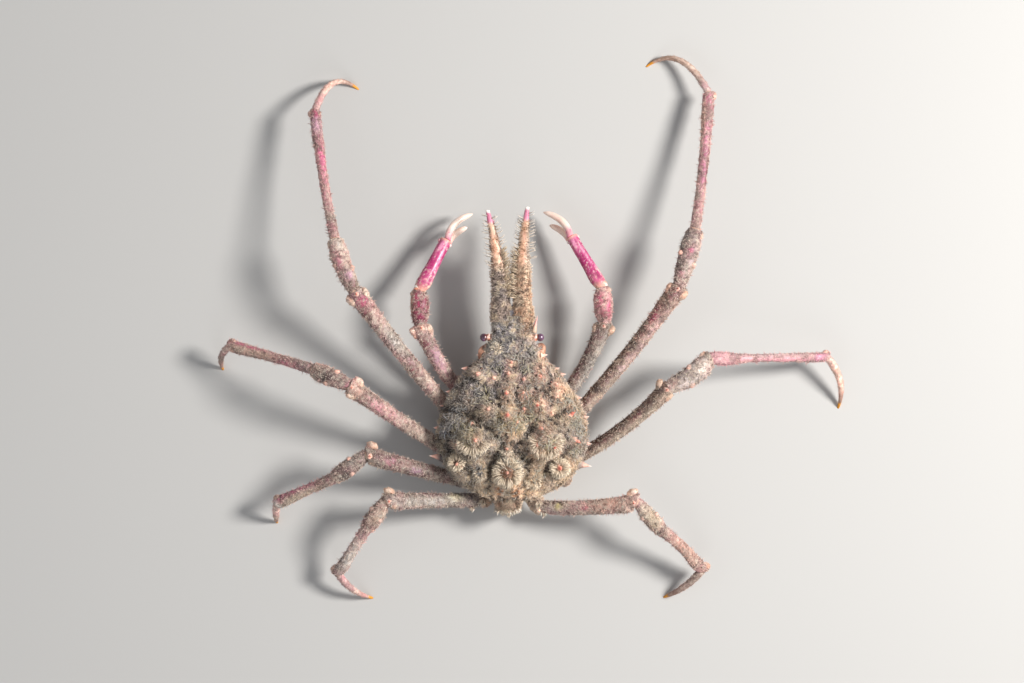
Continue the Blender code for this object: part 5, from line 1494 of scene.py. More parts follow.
def horn_bristle(piece, horn, t, side, turn, ahead, length, colour):
    """Long straight bristles from a horn's flank, hooked forwards at their ends."""
    number = len(t)
    out = np.stack((side * np.cos(turn), ahead, np.sin(turn)), -1)
    wide = smooth_profile(HORN_PROFILE, t) * HORN_GIRTH
    root = horn_centre(horn, t) + out * np.stack((wide, 0 * wide, wide * HORN_SQUASH), -1) * 0.9
    toward = np.stack((-0.2 * side + 0 * t, np.ones(number), RANDOM.uniform(-0.3, 0.3, number)), -1)
    coat(piece, root, out, toward, length, RANDOM.uniform(0.1, 0.135, number),
         RANDOM.uniform(0.3, 1.9, number), colour * 0.45, capped(colour * 1.2, 0.97),
         np.stack((0.8 + 0.1 * side + turn / TAU * 0.3, t), -1), 5, 3.0, 1.3, 1.8)


def add_horn_rows(piece, horn):
    """Irregular groups of pale bristles that stand straight out on both sides of a horn."""
    for side in (-1, 1):
        inner = side * horn.start < 0
        for stop in BRISTLE_ROWS[RANDOM.random(len(BRISTLE_ROWS)) > 0.14]:
            number = int(RANDOM.integers(3, 6)) if stop > 0.5 else int(RANDOM.integers(5, 9))
            t = stop + RANDOM.normal(0, 0.004, number)
            turn = np.radians(RANDOM.uniform(-38, 42, number))
            ahead = RANDOM.uniform(0.0, 0.16, number) + (0.3 if inner else 0.05)
            length = BRISTLE_LENGTH * (1.25 - 0.5 * t * t) * RANDOM.uniform(0.75, 1.0, number)
            length = length * (0.45 + 0.55 * blend(0.42, 0.52, t))
            colour = mix(mix(GREY * 1.4, CREAM, RANDOM.uniform(0.6, 1, number)), WHITE, 0.3 + 0.5 * t)
            colour = mix(colour, ORANGE, RANDOM.uniform(0, 0.35) * (1 - t))
            horn_bristle(piece, horn, t, side, turn, ahead, length, colour)


def add_horn_net(piece, horn):
    """Long inner bristles that cross the space between the horns."""
    number = HORN_NET
    t = RANDOM.uniform(0.16, 0.62, number)
    side = -1 if horn.start > 0 else 1
    turn = np.radians(RANDOM.uniform(-45, 50, number))
    colour = mix(BEIGE, YELLOW, RANDOM.uniform(0, 0.6, number))
    colour = mix(colour, CREAM, RANDOM.uniform(0.2, 1, number))
    ahead = RANDOM.uniform(-0.3, 0.8, number)
    length = RANDOM.uniform(1.4, 2.6, number)
    colour = colour * RANDOM.uniform(0.7, 1.3, (number, 1))
    horn_bristle(piece, horn, t, side, turn, ahead, length, colour)


def build_eye(side, sign):
    """An eyestalk with its bands, and the purple eye that shades to brown at its root."""
    along = np.array((sign, 0.0, 0.0))
    root = np.array((sign * (STALK_FROM - GAP / 2), EYE_Y, EYE_HEIGHT))
    end = np.array((sign * (STALK_FROM + STALK_LENGTH + GAP), EYE_Y, EYE_HEIGHT))
    stalk = straight_tube(root, end, STALK_PROFILE, STALK_GIRTH, 20, 32)
    stalk.swell(0.09 * noise(stalk.points, 0.4, 6))
    piece = Piece("eyestalk_skin_" + side)
    bands = np.clip(0.5 + 1.1 * noise(stalk.points, 0.6, 9), 0, 1)
    colour = mix(mix(CORAL, ORANGE, 0.5), WHITE, 0.7 * bands)
    piece.add_grid(stalk, mix(colour, BROWN * 0.5, np.clip(1.4 * noise(stalk.points, 0.5, 10), 0, 0.7)), 0.6)
    piece.build(STALK_MATERIAL, "stalk", "eyestalk_" + side)
    centre = end + along * CORNEA_RADIUS * 0.72
    cornea = ball(centre, CORNEA_RADIUS, 40, 52, 0, along)
    points = cornea.points
    reach = np.clip((sign * (points[..., 0] - centre[0]) / CORNEA_RADIUS + 1) / 2, 0, 1)
    reach = blend(0.2, 0.5, reach + 0.1 * noise(points, 0.4, 13))
    root_tint = stir(BROWN * 0.5, MAROON, 0.5, noise(points, 0.5, 11))
    iris = stir(EYE_PURPLE, EYE_MAUVE, 0.35, 0.9 * noise(points, 0.6, 12))
    piece = Piece("cornea_skin_" + side)
    piece.add_grid(cornea, mix(root_tint, iris, reach), 0.9, 0.01)
    piece.build(EYE_MATERIAL, "eye", "cornea_" + side)


def build_feeler(side, sign):
    """A jointed feeler: two stout pieces, then a whip with fine rings."""
    start = np.array((sign * FEELER_X, FEELER_FROM, FEELER_HEIGHT))
    end = start + np.array((-sign * 0.4, FEELER_LENGTH, 0.6))
    grid = straight_tube(start, end, FEELER_PROFILE, FEELER_GIRTH, 90, 18)
    t = np.linspace(0, 1, 90)[:, None]
    grid.swell(0.035 * np.sin(t * 230) * blend(0.34, 0.4, t) + 0.03 * noise(grid.points, 0.5, 4))
    piece = Piece("feeler_" + side)
    shade = np.clip(0.5 + 0.5 * np.sin(t * 40) + 0.3 * noise(grid.points, 1.0, 3), 0, 1)
    piece.add_grid(grid, mix(PALE_CORAL, BEIGE, shade), 0.4)
    piece.build(HORN_MATERIAL, "horn", "antenna_" + side)


def build_mouthpart(side, sign):
    """A flat mouth plate with a rounded border and a groove along it."""
    rise = (MOUTH_HEIGHT - GROOVE_HEIGHT) / (CHEST_FRONT - MOUTH_FROM)
    y = np.linspace(MOUTH_FROM, MOUTH_TO, MOUTH_ROWS)[:, None]
    wide = MOUTH_HALF_WIDTH * np.interp(y, *zip(*MOUTH_PROFILE))
    turn = round_turns(MOUTH_COLUMNS)[None]
    x = sign * (0.2 + wide * (0.5 + 0.5 * rounded(np.cos(turn), 0.6)))
    middle = GROOVE_HEIGHT + rise * (y - MOUTH_FROM) - 0.5 - MOUTH_THICKNESS / 2
    z = middle + rounded(np.sin(turn), 0.7) * MOUTH_THICKNESS / 2
    grid = Grid(np.stack(np.broadcast_arrays(x, y, z), -1))
    parting = bell(grid.points[..., 1] - MOUTH_SEAM, 0.25)
    groove = bell(grid.points[..., 0] - sign * 1.8, 0.35)
    grid.swell(-0.3 * parting - 0.16 * groove + 0.05 * fractal(grid.points, 1.0, 4))
    piece = Piece("mouthpart_" + side)
    piece.add_grid(grid, stir(BEIGE, PALE_CORAL, 0.5, 0.6 * fractal(grid.points, 2.4, 5)), 0.4)
    piece.build(BELLY_MATERIAL, "belly", "maxilliped_" + side)


def leg_roots():
    """Root and first direction of every limb."""
    for limb in LEGS + CLAWS:
        root = np.array(limb.root)
        yield root, bend_along(run_bend(root, limb.merus), 0)
    root = np.array(STUB_ROOT)
    yield root, bend_along(run_bend(root, STUB_RUN), 0)


def belly_tint(points):
    colour = stir(BEIGE, CREAM, 0.5, 0.6 * fractal(points, 4.0, 6))
    fine = fractal(points, 0.9, 7)
    return mix(colour, GREY, np.clip((-fine - 0.1) * 1.2, 0, 0.5))


def chest_ring(y):
    """The chest's outline at one place along it, closed, with the groove for the tail."""
    places, widths, lows = zip(*CHEST_STATIONS)
    wide, low = np.interp(y, places, widths), np.interp(y, places, lows)
    groove = low + (GROOVE_HEIGHT - low) * blend(TAIL_END + 0.7, TAIL_END + 0.4, y) if y < 5 else low
    inner = wide * 0.82
    right = np.array(((0, CHEST_TOP), (wide, CHEST_TOP), (wide, low * 0.4 + CHEST_TOP * 0.6),
                      (inner, low + 0.7), (inner * 0.86, low), (GROOVE_HALF_WIDTH, low),
                      (GROOVE_HALF_WIDTH - 0.2, groove), (0, groove)))
    stops = np.linspace(0, 1, len(right))
    fine = np.linspace(0, 1, 46)
    x, z = np.interp(fine, stops, right[:, 0]), np.interp(fine, stops, right[:, 1])
    ring = np.concatenate((np.stack((x, z), -1), np.stack((-x, z), -1)[-2:0:-1]))
    return np.stack((ring[:, 0] + TAIL_CENTRE, np.full(len(ring), y), ring[:, 1]), -1)


def chest_grid():
    grid = Grid(np.array([chest_ring(y) for y in np.linspace(CHEST_REAR, CHEST_FRONT, CHEST_ROWS)]))
    below = grid.points[..., 2] < 5
    seams = sum(bell(grid.points[..., 1] - y, SEAM_WIDTH) for y in CHEST_SEAMS)
    outside = np.abs(grid.points[..., 0] - TAIL_CENTRE) > GROOVE_HALF_WIDTH + 0.3
    grid.swell((-0.28 * seams * outside + 0.05 * fractal(grid.points, 1.2, 14)) * below)
    return grid


def build_chest():
    """The grooved plate of the underside and the first pieces of the limbs, with velvet on top."""
    grid = chest_grid()
    skin = Piece("chest_skin")
    skin.add_grid(grid, belly_tint(grid.points), 0.4)
    velvet = Piece("coxa_velvet")
    for k, (root, along) in enumerate(leg_roots()):
        add_coxa(skin, velvet, root, along, k)
    fringe = Piece("chest_velvet")
    sides = blend(0.9, 0.2, np.abs(grid.normals[..., 2])) * blend(2.0, 4.5, grid.points[..., 2])
    add_velvet(fringe, grid, CHEST_TUFTS, sides, 0.5, 0.08, lambda place, part: belly_tint(place) * 0.8)
    for x, z in REAR_TUFTS:
        for side in (-1, 1):
            centre = (TAIL_CENTRE + side * x, CHEST_REAR, z)
            add_tuft(fringe, centre, (0.3 * side, -1, 0.2), 12, (0.5 + 0.1 * x * side, 0.002))
    fringe.build(COAT_MATERIAL, "belly")
    for centre, aim in ROOT_TUFTS:
        add_tuft(velvet, centre, aim, 26, (0.98, 0.98))
    skin.build(BELLY_MATERIAL, "belly", "chest")
    velvet.build(COAT_MATERIAL, "leg")


def add_coxa(skin, velvet, root, along, number):
    """The first piece of a limb, with two rings, and its velvet."""
    inside = np.array((math.copysign(5.4, root[0]), root[1] * 0.78, root[2] - 0.2))
    bend = (inside, root - along * np.linalg.norm(root - inside) * 0.45, root)
    grid = tube(bend, (bend_along(bend, 0), along), COXA_PROFILE, COXA_GIRTH, 46, 28)
    grid.swell(0.12 * fractal(grid.points, 1.1, 15 + number))

    def tint_of(place, part=None):
        high = blend(5.0, 8.0, place[..., 2])
        return mix(belly_tint(place), shell_tint(place), 0.7 * high)

    skin.add_grid(grid, tint_of(grid.points), 0.2, 0.1)
    weight = blend(5.0, 7.0, grid.points[..., 2]) + 0.05
    band = number / 10
    add_velvet(velvet, grid, COXA_TUFTS, weight, 0.65, 0.1, tint_of, atlas=(0, band, 1, band + 0.095))


def add_tuft(piece, centre, aim, number, place):
    """A spiky bunch of thick pale bristles."""
    aims = unit(np.array(aim, float)) + RANDOM.normal(0, 0.42, (number, 3))
    roots = np.array(centre, float) + RANDOM.normal(0, 0.35, (number, 3))
    colour = mix(CREAM, WHITE, RANDOM.uniform(0, 0.7, number)) * RANDOM.uniform(0.6, 1.1, (number, 1))
    length = RANDOM.uniform(1.2, 1.9, number)
    girth = RANDOM.uniform(0.16, 0.22, number)
    curl = RANDOM.uniform(-0.3, 0.3, number)
    coat(piece, roots, aims, aims + UP, length, girth, curl, mix(colour, BROWN, 0.6),
         np.minimum(colour * 1.1, 0.95), np.full((number, 2), place), 3, 1.2, 1.2, 2.0)


def tail_path():
    """The tail's middle line: half a turn under the shell's rear, then along the groove."""
    low = TAIL_THICKNESS / 2
    middle = np.array((0, SHELL_REAR - GAP / 2, (TAIL_START_HEIGHT + low) / 2))
    drop = (TAIL_START_HEIGHT - low) / 2
    turns = np.linspace(math.pi / 2, math.pi * 1.5, 70)
    path = [middle + np.array((0, math.cos(turn) * (TAIL_REACH + GAP / 2), math.sin(turn) * drop))
            for turn in turns]
    flat = [np.array((0, y, low)) for y in np.linspace(SHELL_REAR, TAIL_END, 90)[1:]]
    return np.array(path + flat), np.concatenate((turns, np.full(len(flat), math.pi * 1.5)))


def tail_grid():
    """The tail's skin, with a seam between its segments and two pits at its root."""
    path, turns = tail_path()
    steps = np.linalg.norm(np.diff(path, axis=0), axis=1)
    length = np.concatenate(((0,), np.cumsum(steps)))
    share = length / length[-1]
    wide = TAIL_HALF_WIDTH * (1 - 0.22 * blend(0.35, 0.95, share)) * (1 - 0.5 * blend(0.95, 1, share))
    wide = wide * (1.04 - 0.32 * blend(0, 0.1, share) + 0.28 * blend(0.14, 0.3, share))
    out = np.stack((0 * turns, np.cos(turns), np.sin(turns)), -1)
    angle = round_turns(TAIL_COLUMNS)
    lift = rounded(np.sin(angle), 0.8)
    points = path[:, None] + out[:, None] * (TAIL_THICKNESS / 2 * lift)[None, :, None]
    across = TAIL_CENTRE + wide[:, None] * rounded(np.cos(angle), 0.8)
    grid = Grid(points + np.stack((across, 0 * across, 0 * across), -1))
    seams = sum(bell(length - place, SEAM_WIDTH) for place in TAIL_SEAMS)
    x, high = grid.points[..., 0], grid.points[..., 2]
    pits = sum(np.exp(-((x - pit) ** 2 + (length[:, None] - 0.9) ** 2) / 0.3) for pit in TAIL_PITS)
    floor = blend(0.05, 0.3, high)
    grid.swell(floor * np.maximum(lift, 0)[None] * (-0.25 * seams[:, None] - 0.5 * pits)
               + floor * (0.1 + 0.2 * blend(6, 9, high)) * fractal(grid.points, 0.9, 16))
    return grid


def tail_tint(place, part=None):
    """Pale below, granular tan above, with a brown pit on each side of the root."""
    x, y, high = (place[..., k] for k in range(3))
    above = stir(TAN, CREAM, 0.3, 1.2 * fractal(place, 1.0, 18)) * 0.6
    colour = mix(belly_tint(place), above, blend(3, 8, high))
    dark = sum(np.exp(-((x - pit) ** 2 + (y + 16.6) ** 2) / 0.5) for pit in TAIL_PITS)
    return mix(colour, BROWN * 0.6, np.clip(dark, 0, 1) * blend(8, 10, high))


def build_tail():
    """The tail leaves the shell, turns under and lies in the groove."""
    grid = tail_grid()
    piece = Piece("tail_skin")
    piece.add_grid(grid, tail_tint(grid.points), 0.2)
    piece.build(BELLY_MATERIAL, "belly", "abdomen")
    velvet = Piece("tail_velvet")
    high = blend(1.6, 8.0, grid.points[..., 2])
    add_velvet(velvet, grid, TAIL_TUFTS, high, 0.75, 0.1, tail_tint, 0.5)
    for x in TAIL_ROOT_TUFTS:
        centre = (TAIL_CENTRE + x, SHELL_REAR - 2.9 + 0.16 * x * x, 9.0)
        add_tuft(velvet, centre, (0.4 * x, -1, 0.6), 16, (0.5, 0.03))
    velvet.build(COAT_MATERIAL, "belly")


def limb_skin(piece, name, bend, planes, profile, girth):
    """Adds one limb piece's granular skin, and returns its grid with how bare it is."""
    rows = max(36, int(np.linalg.norm(bend[2] - bend[0]) / LIMB_ROW_STEP))
    grid = tube(bend, planes, profile, girth, rows, LIMB_COLUMNS)
    fuzz, shell, bare = limb_tint(name, grid.points, *along_and_round(rows, LIMB_COLUMNS))
    lumps = LIMB_ROUGH * fractal(grid.points, 1.5, 17) + LIMB_ROUGH * 0.8 * noise(grid.points, 0.55, 18)
    grid.swell((1 - 0.6 * bare) * (lumps - LIMB_ROUGH * 0.5) - 0.12 * (1 - bare))
    # Skin under the velvet is darkened as painted shade between the tufts.
    piece.add_grid(grid, mix(fuzz * 0.6, shell * 0.9, bare), bare, 0.12)
    return grid, bare


def limb_velvet(piece, name, grid, bare, density, band):
    """Velvet over a limb piece, thin where it is bare and below."""
    girth = np.linalg.norm(grid.points - grid.points.mean(1, keepdims=True), axis=-1).mean()
    reach = np.linalg.norm(grid.points[-1].mean(0) - grid.points[0].mean(0))
    number = int(TAU * girth * reach * density)
    above = 0.4 + 0.6 * blend(-0.4, 0.3, grid.normals[..., 2])
    weight = above * np.clip(1.0 - bare, 0.04, 1) ** 1.5
    atlas = (0.01, band, 0.6, band + 0.2)

    def tint_of(place, part):
        return limb_tint(name, place, part[:, 1], part[:, 0] * 360)[0]

    add_velvet(piece, grid, number, weight, LIMB_PILE * 0.7, 0.1, tint_of, 1.0, atlas=atlas)
    add_velvet(piece, grid, number // 6, weight, LIMB_PILE * 1.5, 0.085, tint_of, 0.5, 3, atlas)
    add_grit(piece, grid, number // 4, above, tint_of, atlas, 0.08)


def joint_knobs(piece, velvet, name, bend, plane, girth, kind, band):
    """The two irregular condyles beside a joint, fuzzy and coloured like the limb."""
    along = bend_along(bend, 1)
    side = left_of(along)
    side = unit(side - plane * side.dot(plane))
    radius = girth * KNOB_PART[kind]
    reach = radius * 1.6
    for sign in (-1, 1):
        centre = bend[2] + side * sign * girth * (KNOB_OUT[kind] * 0.94 - 0.16) - plane * (reach + GAP * 0.6)
        knob = ball(centre, (radius * 0.95, radius, reach), 24, 28, 0, unit(along + side * sign * 0.35))
        knob.swell(radius * (0.26 * noise(knob.points, 1.3, 19) + 0.14 * noise(knob.points, 0.5, 20)))

        def tint_of(place, part=None):
            ones = np.ones(place.shape[:-1])
            fuzz = limb_tint(name, place, ones, ones * (90 - 90 * sign))[0]
            warm = np.clip(0.4 + 0.9 * noise(place, 0.9, 21), 0, 1)
            return mix(mix(fuzz, CREAM, 0.3), WARM_CORAL, 0.5 * warm)

        piece.add_grid(knob, tint_of(knob.points), 0.45)
        weight = blend(-0.5, 0.4, knob.normals[..., 2]) * (0.4 + 0.6 * (noise(knob.points, 0.8, 22) > -0.1))
        shift = KNOB_MAP_SHIFT * (sign > 0)
        add_velvet(velvet, knob, KNOB_TUFTS, weight, 0.4, 0.085, tint_of, 1.0,
                   atlas=(0.64 + shift, band, 0.8 + shift, band + 0.09))


def joint_thorn(piece, bend, plane, girth):
    """The coral spine that stands over a joint, with its broad foot."""
    along = bend_along(bend, 1)
    over = np.cross(along, left_of(along))
    drop = over.dot(plane) / along.dot(plane) * girth * THORN_SEAT + 0.75
    root = bend[2] + over * girth * THORN_SEAT - along * drop
    foot = ball(root, (0.7, 0.7, 0.45), 14, 20, 0.1, over)
    piece.add_grid(foot, stir(BEIGE, PALE_CORAL, 0.5, noise(foot.points, 0.7, 23)), 0.4)
    spine = thorn(root, over + along * 0.5, THORN_LENGTH, THORN_GIRTH)
    piece.add_grid(spine, thorn_tint(spine, PALE_CORAL, CORAL, PALE_CORAL), 0.8)


def joint_skin(piece, centre, along, girth):
    """The soft skin that shows in the gap of a joint."""
    grid = ball(centre, (girth * 0.72, girth * 0.66, girth * 0.4), 12, 22, 0.04, along)
    piece.add_grid(grid, stir(mix(ORANGE, BEIGE, 0.6), CREAM, 0.3, noise(grid.points, 0.8, 20)) * 0.8, 0.3)


def build_segment(velvet, name, slot, bend, planes, profile, girth, density, band, bumps=()):
    """One piece of a limb with its condyles, thorn, knobs, joint skin and velvet."""
    kind = name.split("_")[-1]
    piece = Piece(name + "_skin")
    grid, bare = limb_skin(piece, name, bend, planes, profile, girth)
    end_girth = girth * profile[-1][1]
    joint_knobs(piece, velvet, name, bend, planes[1], end_girth, kind, band)
    if kind == "merus":
        joint_thorn(piece, bend, planes[1], end_girth)
    for t, turn in bumps:
        add_bump(piece, bend, t, turn, girth)
    joint_skin(piece, bend[2], planes[1], end_girth)
    piece.build(LIMB_MATERIAL, slot, name)
    limb_velvet(velvet, name, grid, bare, density, band)


def limb_band(number):
    """Where the strip of a limb's bake map begins that belongs to one of its pieces."""
    return 0.25 * number + 0.01


def build_leg(leg):
    """A leg from its merus to its tip, with its velvet."""
    merus = run_bend(np.array(leg.root), leg.merus)
    carpus = run_bend(merus[2], leg.carpus)
    propodus = run_bend(carpus[2], leg.propodus)
    tip = tip_bend(propodus[2], leg.tip)
    bends = (merus, carpus, propodus, tip)
    planes = shared_planes(bends, bend_along(merus, 0), -UP)
    stops = np.linspace(0, 1, 21)
    bulge = 1 + (leg.propodus.root_swell - 1) * bell(stops - 0.1, 0.13)
    swell = list(zip(stops, smooth_profile(PROPODUS_PROFILE, stops) * bulge))
    kinds = (("merus", MERUS_PROFILE, leg.merus.girth, ()),
             ("carpus", CARPUS_PROFILE, leg.carpus.girth, CARPUS_BUMPS),
             ("propodus", swell, leg.propodus.girth, ()))
    velvet = Piece(leg.name + "_velvet")
    for k, ((kind, profile, girth, bumps), bend) in enumerate(zip(kinds, bends)):
        name = f"{leg.name}_{kind}"
        density = COAT_DENSITY * VELVET.get(name, VELVET[kind]) + LEAST_DENSITY
        build_segment(velvet, name, "leg", bend, planes[k:k + 2], profile, girth, density, limb_band(k),
                      bumps)
    build_tip(leg, tip, planes[3:], velvet)
    velvet.build(COAT_MATERIAL, "leg")


def build_tip(leg, bend, planes, velvet):
    """A leg tip: furry at its root, brown and bare further on, with an amber point."""
    name = leg.name + "_dactylus"
    rows, columns = 80, 28
    grid = tube(bend, planes, TIP_PROFILE, leg.tip.girth, rows, columns, 1)
    t, angle = along_and_round(rows, columns)
    grid.swell((0.05 * fractal(grid.points, 0.9, 22) - 0.03) * (1 - t) * blend(0, 0.1, 1 - t))

    def tint_at(place, t, angle):
        fuzz, shell, bare = limb_tint(name, place, t, angle)
        colour = mix(fuzz, shell, 0.5 * bare)
        colour = mix(colour, BROWN, 0.5 * blend(0.4, 0.85, t))
        return mix(colour, AMBER, blend(0.86, 0.92, t))

    def tint_of(place, part):
        return tint_at(place, part[:, 1], part[:, 0] * 360)

    piece = Piece(name + "_skin")
    piece.add_grid(grid, tint_at(grid.points, t, angle), 0.3 + 0.5 * blend(0.6, 0.9, t), 0.02)
    add_tip_teeth(piece, bend, leg.tip)
    piece.build(LIMB_MATERIAL, "leg_tip", name)
    weight = (1 - blend(0.55, 0.85, t)) * (0.4 + 0.6 * blend(-0.4, 0.3, grid.normals[..., 2]))
    number = int(np.linalg.norm(bend[2] - bend[0]) * leg.tip.girth * TAU * 4)
    add_velvet(velvet, grid, number, weight, 0.45, 0.075, tint_of, 0.9, atlas=(0.01, 0.77, 0.99, 0.98))


def add_tip_teeth(piece, bend, tip):
    """A row of small teeth along the inner curve of a leg tip."""
    for t in TIP_TEETH:
        along = bend_along(bend, t)
        inner = left_of(along) * (-1 if tip.bow > 0 else 1)
        inner = unit(inner - UP * 0.5)
        wide = tip.girth * float(smooth_profile(TIP_PROFILE, t))
        tooth = thorn(bend_point(bend, t) + inner * wide * 0.8, inner + along * 0.5, 0.3, 0.1, 5, 8, 0.1)
        piece.add_grid(tooth, AMBER, 0.7)


def add_bump(piece, bend, t, turn, girth):
    """A low round knob part of the way along a piece."""
    along = bend_along(bend, t)
    side = left_of(along)
    over = np.cross(along, side)
    out = side * math.cos(math.radians(turn)) + over * math.sin(math.radians(turn))
    knob = ball(bend_point(bend, t) + out * girth * 0.8, girth * BUMP_PART, 10, 16, 0.08, out)
    piece.add_grid(knob, stir(BEIGE * 0.7, PALE_CORAL, 0.4, noise(knob.points, 0.6, 23)), 0.3)


def finger_grid(end_of_palm, along, out, shape):
    """A finger's skin and the bend that it follows."""
    root = end_of_palm + out * shape.out + np.cross(along, left_of(along)) * shape.rise
    turned = unit(along - out * math.tan(math.radians(shape.turn)))
    end = root + turned * shape.reach - UP * FINGER_FALL
    bend = (root, (root + end) / 2 + out * shape.bow, end)
    planes = (along, bend_along(bend, 1))
    return tube(bend, planes, FINGER_PROFILE, FINGER_GIRTH, FINGER_ROWS, FINGER_COLUMNS, 1), bend


def finger_tint(points):
    """Pink at the root, cream beyond, with coral clouds and a few hot pink specks."""
    t = along_and_round(FINGER_ROWS, FINGER_COLUMNS)[0]
    cream = mix(FINGER_CREAM, PALE_CORAL, 0.3)
    colour = mix(mix(PINK, HOT_PINK, 0.3), cream, blend(0.0, 0.35, t + 0.1 * noise(points, 1.5, 24)))
    colour = mix(colour, PALE_CORAL, np.clip(0.5 * fractal(points, 2.0, 25) + 0.2, 0, 0.6))
    return mix(colour, HOT_PINK, 0.7 * (noise(points, 0.35, 30) > 0.45) * (1 - blend(0.1, 0.3, t)))


def add_finger_teeth(piece, bend, out):
    """Low rounded teeth on the inner edge of a finger."""
    for t in FINGER_TEETH:
        wide = FINGER_GIRTH * float(smooth_profile(FINGER_PROFILE, t))
        tooth = ball(bend_point(bend, t) - out * wide * 0.85, wide * 0.3, 6, 10, 0, -out)
        piece.add_grid(tooth, WHITE, 0.8)


def palm_tint(points, t, angle):
    """Magenta sides, a long pale pink painted highlight along the top, and a dusty root and end."""
    seed = 33
    around = np.radians(angle)
    along = np.stack((t * 3.2, np.cos(around) * 2.0, np.sin(around) * 2.0), -1)
    streak = fractal(along, 0.9, seed)
    grain = fractal(points, 0.6, seed + 9)
    colour = mix(PALM_PURPLE, HOT_PINK, np.clip(0.3 + 0.9 * streak + 0.6 * grain, 0, 1))
    # The pale pink streak along the top is a painted highlight.
    top = bell(angle - 95 - 25 * np.sin(t * 4), 34) * blend(0.05, 0.3, t)
    top = np.clip(top * (0.5 + streak + 0.3 * grain), 0, 0.7)
    colour = mix(colour, mix(PALE_PINK, HOT_PINK, 0.35), top)
    speck = noise(points, 0.32, seed + 11) * noise(points, 0.45, seed + 12)
    colour = mix(colour, WHITE, np.clip((speck - 0.12) * 2.5, 0, 0.55))
    colour = mix(colour, MAGENTA * 0.5, np.clip((fractal(along, 0.7, seed + 7) - 0.15) * 1.3, 0, 0.6))
    ends = 1 - blend(0.0, 0.16, t) + blend(0.93, 1.0, t)
    colour = mix(colour, mix(PALE_CORAL, ORANGE, 0.3), np.clip(ends * 0.8, 0, 0.85))
    low = 1 - blend(0.15, 0.5, t)
    edge = np.clip(np.abs(np.cos(around)), 0, 1) ** 2
    return mix(colour, CREAM, np.clip((0.8 * grain - 0.3 + 0.45 * low * edge) * 1.8, 0, 0.75))


def build_claw(claw):
    """A claw with its arm, and the velvet on both."""
    merus = run_bend(np.array(claw.root), claw.merus)
    carpus = run_bend(merus[2], claw.carpus)
    palm = run_bend(carpus[2], claw.palm)
    planes = shared_planes((merus, carpus, palm), bend_along(merus, 0), bend_along(palm, 1))
    name = "claw_" + claw.side
    velvet = Piece(name + "_velvet")
    kinds = (("merus", MERUS_PROFILE, claw.merus.girth), ("carpus", BARREL_PROFILE, claw.carpus.girth))
    for k, ((kind, profile, girth), bend) in enumerate(zip(kinds, (merus, carpus))):
        build_segment(velvet, f"{name}_{kind}", "claw_arm", bend, planes[k:k + 2], profile, girth,
                      COAT_DENSITY, limb_band(k))
    hand = build_palm(claw, name, palm, planes[2:])
    t = along_and_round(PALM_ROWS, PALM_COLUMNS)[0]

    def tint_of(place, part):
        return mix(palm_tint(place, part[:, 1], part[:, 0] * 360), CREAM, 0.4)

    add_velvet(velvet, hand, PALM_TUFTS, (1 - blend(0.1, 0.45, t)) + 0.12, 0.26, 0.07, tint_of,
               atlas=(0.01, 0.52, 0.99, 0.74))
    velvet.build(COAT_MATERIAL, "claw_arm")


def build_palm(claw, name, palm, planes):
    """The palm with its collars, condyle and fixed finger, then the free finger."""
    along = planes[1]
    hand = tube(palm, planes, PALM_PROFILE, claw.palm.girth, PALM_ROWS, PALM_COLUMNS)
    hand.swell(0.05 * fractal(hand.points, 1.8, 26))
    piece = Piece(name + "_palm_skin")
    tints = palm_tint(hand.points, *along_and_round(PALM_ROWS, PALM_COLUMNS))
    piece.add_grid(hand, tints, 0.8, 0.1)
    out = left_of(along) * claw.outward
    for sign in (-1, 1):
        centre = palm[2] + out * sign * claw.palm.girth * COLLAR_OUT - along * COLLAR_BACK
        collar = ball(centre, (COLLAR_RADIUS, COLLAR_RADIUS, COLLAR_RADIUS * 1.1), 16, 22, 0.1, out)
        piece.add_grid(collar, stir(PINK, WHITE, 0.5, noise(collar.points, 0.8, 27)), 0.7)
    condyle = ball(palm[0] + out * 0.85 + along * 0.5 + UP * 0.35, (0.8, 0.85, 0.95), 20, 26, 0.1, along)
    piece.add_grid(condyle, stir(mix(ORANGE, CORAL, 0.4), WHITE, 0.5, noise(condyle.points, 0.9, 31)), 0.8)
    fixed, bend = finger_grid(palm[2] - along * FINGER_ROOT, along, out, FIXED_FINGER)
    piece.add_grid(fixed, finger_tint(fixed.points), 0.8, 0.02)
    add_finger_teeth(piece, bend, -out)
    piece.build(PALM_MATERIAL, "claw_palm", name + "_palm")
    free, bend = finger_grid(palm[2] + along * GAP / 2, along, out, FREE_FINGER)
    piece = Piece(name + "_finger_skin")
    piece.add_grid(free, finger_tint(free.points), 0.8, 0.1)
    add_finger_teeth(piece, bend, out)
    piece.build(FINGER_MATERIAL, "claw_finger", name + "_finger")
    return hand


def stub_tint(points):
    return stir(TAN, GREY, 0.4, 0.6 * fractal(points, 1.8, 29))


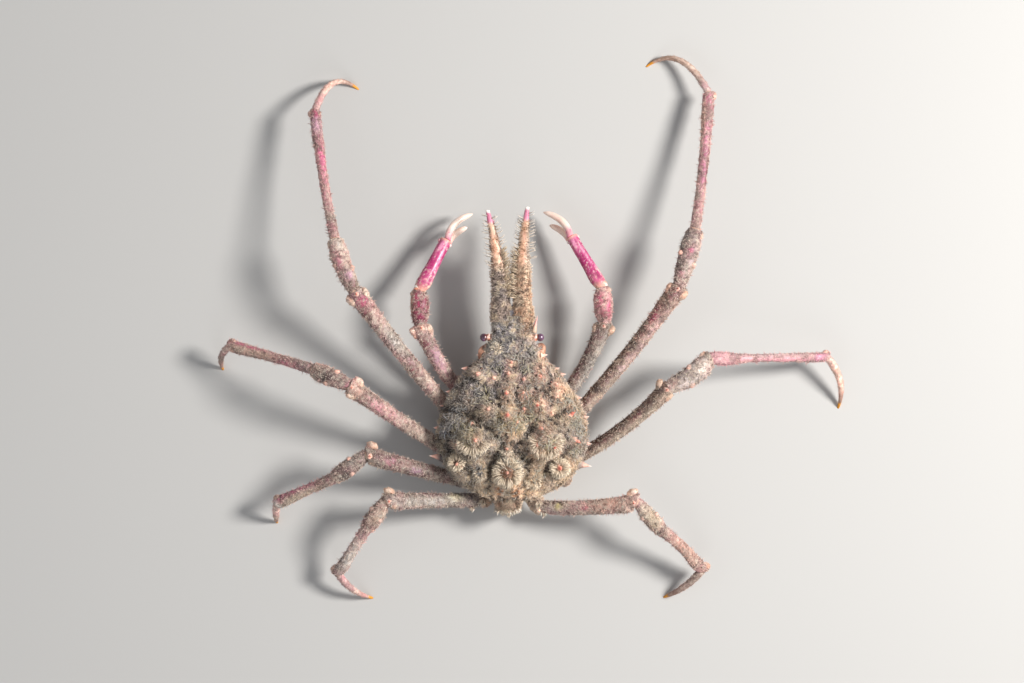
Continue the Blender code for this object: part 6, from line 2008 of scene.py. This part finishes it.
def build_stub():
    """The rounded stump of the lost leg."""
    bend = run_bend(np.array(STUB_ROOT), STUB_RUN)
    plane = bend_along(bend, 0)
    grid = tube(bend, (plane, plane), STUB_PROFILE, STUB_RUN.girth, 50, 40)
    grid.swell(0.08 * fractal(grid.points, 1.2, 28))
    t = along_and_round(50, 40)[0]
    piece = Piece("leg_stub_skin")
    # The skin under the velvet is darkened as painted shade between the tufts.
    piece.add_grid(grid, mix(stub_tint(grid.points), BROWN, 0.4 * blend(0.75, 1.0, t)) * 0.6, 0.3, 0.2)
    piece.build(LIMB_MATERIAL, "leg", "leg_3_right_stub")
    velvet = Piece("leg_stub_velvet")
    add_velvet(velvet, grid, STUB_TUFTS, 1 - 0.7 * blend(0.8, 1.0, t), 0.5, 0.09,
               lambda place, part: stub_tint(place) * 0.8)
    velvet.build(COAT_MATERIAL, "leg")


def show(obj):
    bpy.context.scene.collection.objects.link(obj)
    return obj


def build_stage():
    mesh = bpy.data.meshes.new("floor")
    half = FLOOR_SIZE / 2
    corners = ((-half, -half, 0), (half, -half, 0), (half, half, 0), (-half, half, 0))
    mesh.from_pydata(corners, (), [(0, 1, 2, 3)])
    material = bpy.data.materials.new("pale_floor")
    material.use_nodes = True
    shader = material.node_tree.nodes["Principled BSDF"]
    shader.inputs["Base Color"].default_value = FLOOR_COLOUR
    shader.inputs["Roughness"].default_value = 0.7
    mesh.materials.append(material)
    floor = show(bpy.data.objects.new("floor", mesh))
    world = bpy.data.worlds.new("soft_sky")
    world.use_nodes = True
    sky = world.node_tree.nodes["Background"]
    sky.inputs["Color"].default_value = SKY_COLOUR
    sky.inputs["Strength"].default_value = SKY_STRENGTH
    bpy.context.scene.world = world


def build_lights():
    for light in LIGHTS:
        data = bpy.data.lights.new(light.name, "AREA")
        data.shape = "DISK"
        data.size = light.size
        data.energy = light.watts
        data.color = light.colour
        lamp = show(bpy.data.objects.new(light.name, data))
        lamp.location = light.place
        lamp.rotation_euler = (-lamp.location).to_track_quat("-Z", "Y").to_euler()


def build_camera():
    data = bpy.data.cameras.new("camera")
    data.sensor_width = SENSOR_WIDTH
    data.sensor_fit = "HORIZONTAL"
    data.lens = CAMERA_LENS
    data.clip_start = 0.01
    camera = show(bpy.data.objects.new("camera", data))
    camera.location = CAMERA_PLACE
    bpy.context.scene.camera = camera


build_shell()
for one_horn in HORNS:
    build_horn(one_horn)
for one_side, one_sign in (("left", -1), ("right", 1)):
    build_eye(one_side, one_sign)
    build_feeler(one_side, one_sign)
    build_mouthpart(one_side, one_sign)
build_chest()
build_tail()
for one_leg in LEGS:
    build_leg(one_leg)
for one_claw in CLAWS:
    build_claw(one_claw)
build_stub()
build_stage()
build_lights()
build_camera()
bpy.context.scene.view_settings.view_transform = "Standard"
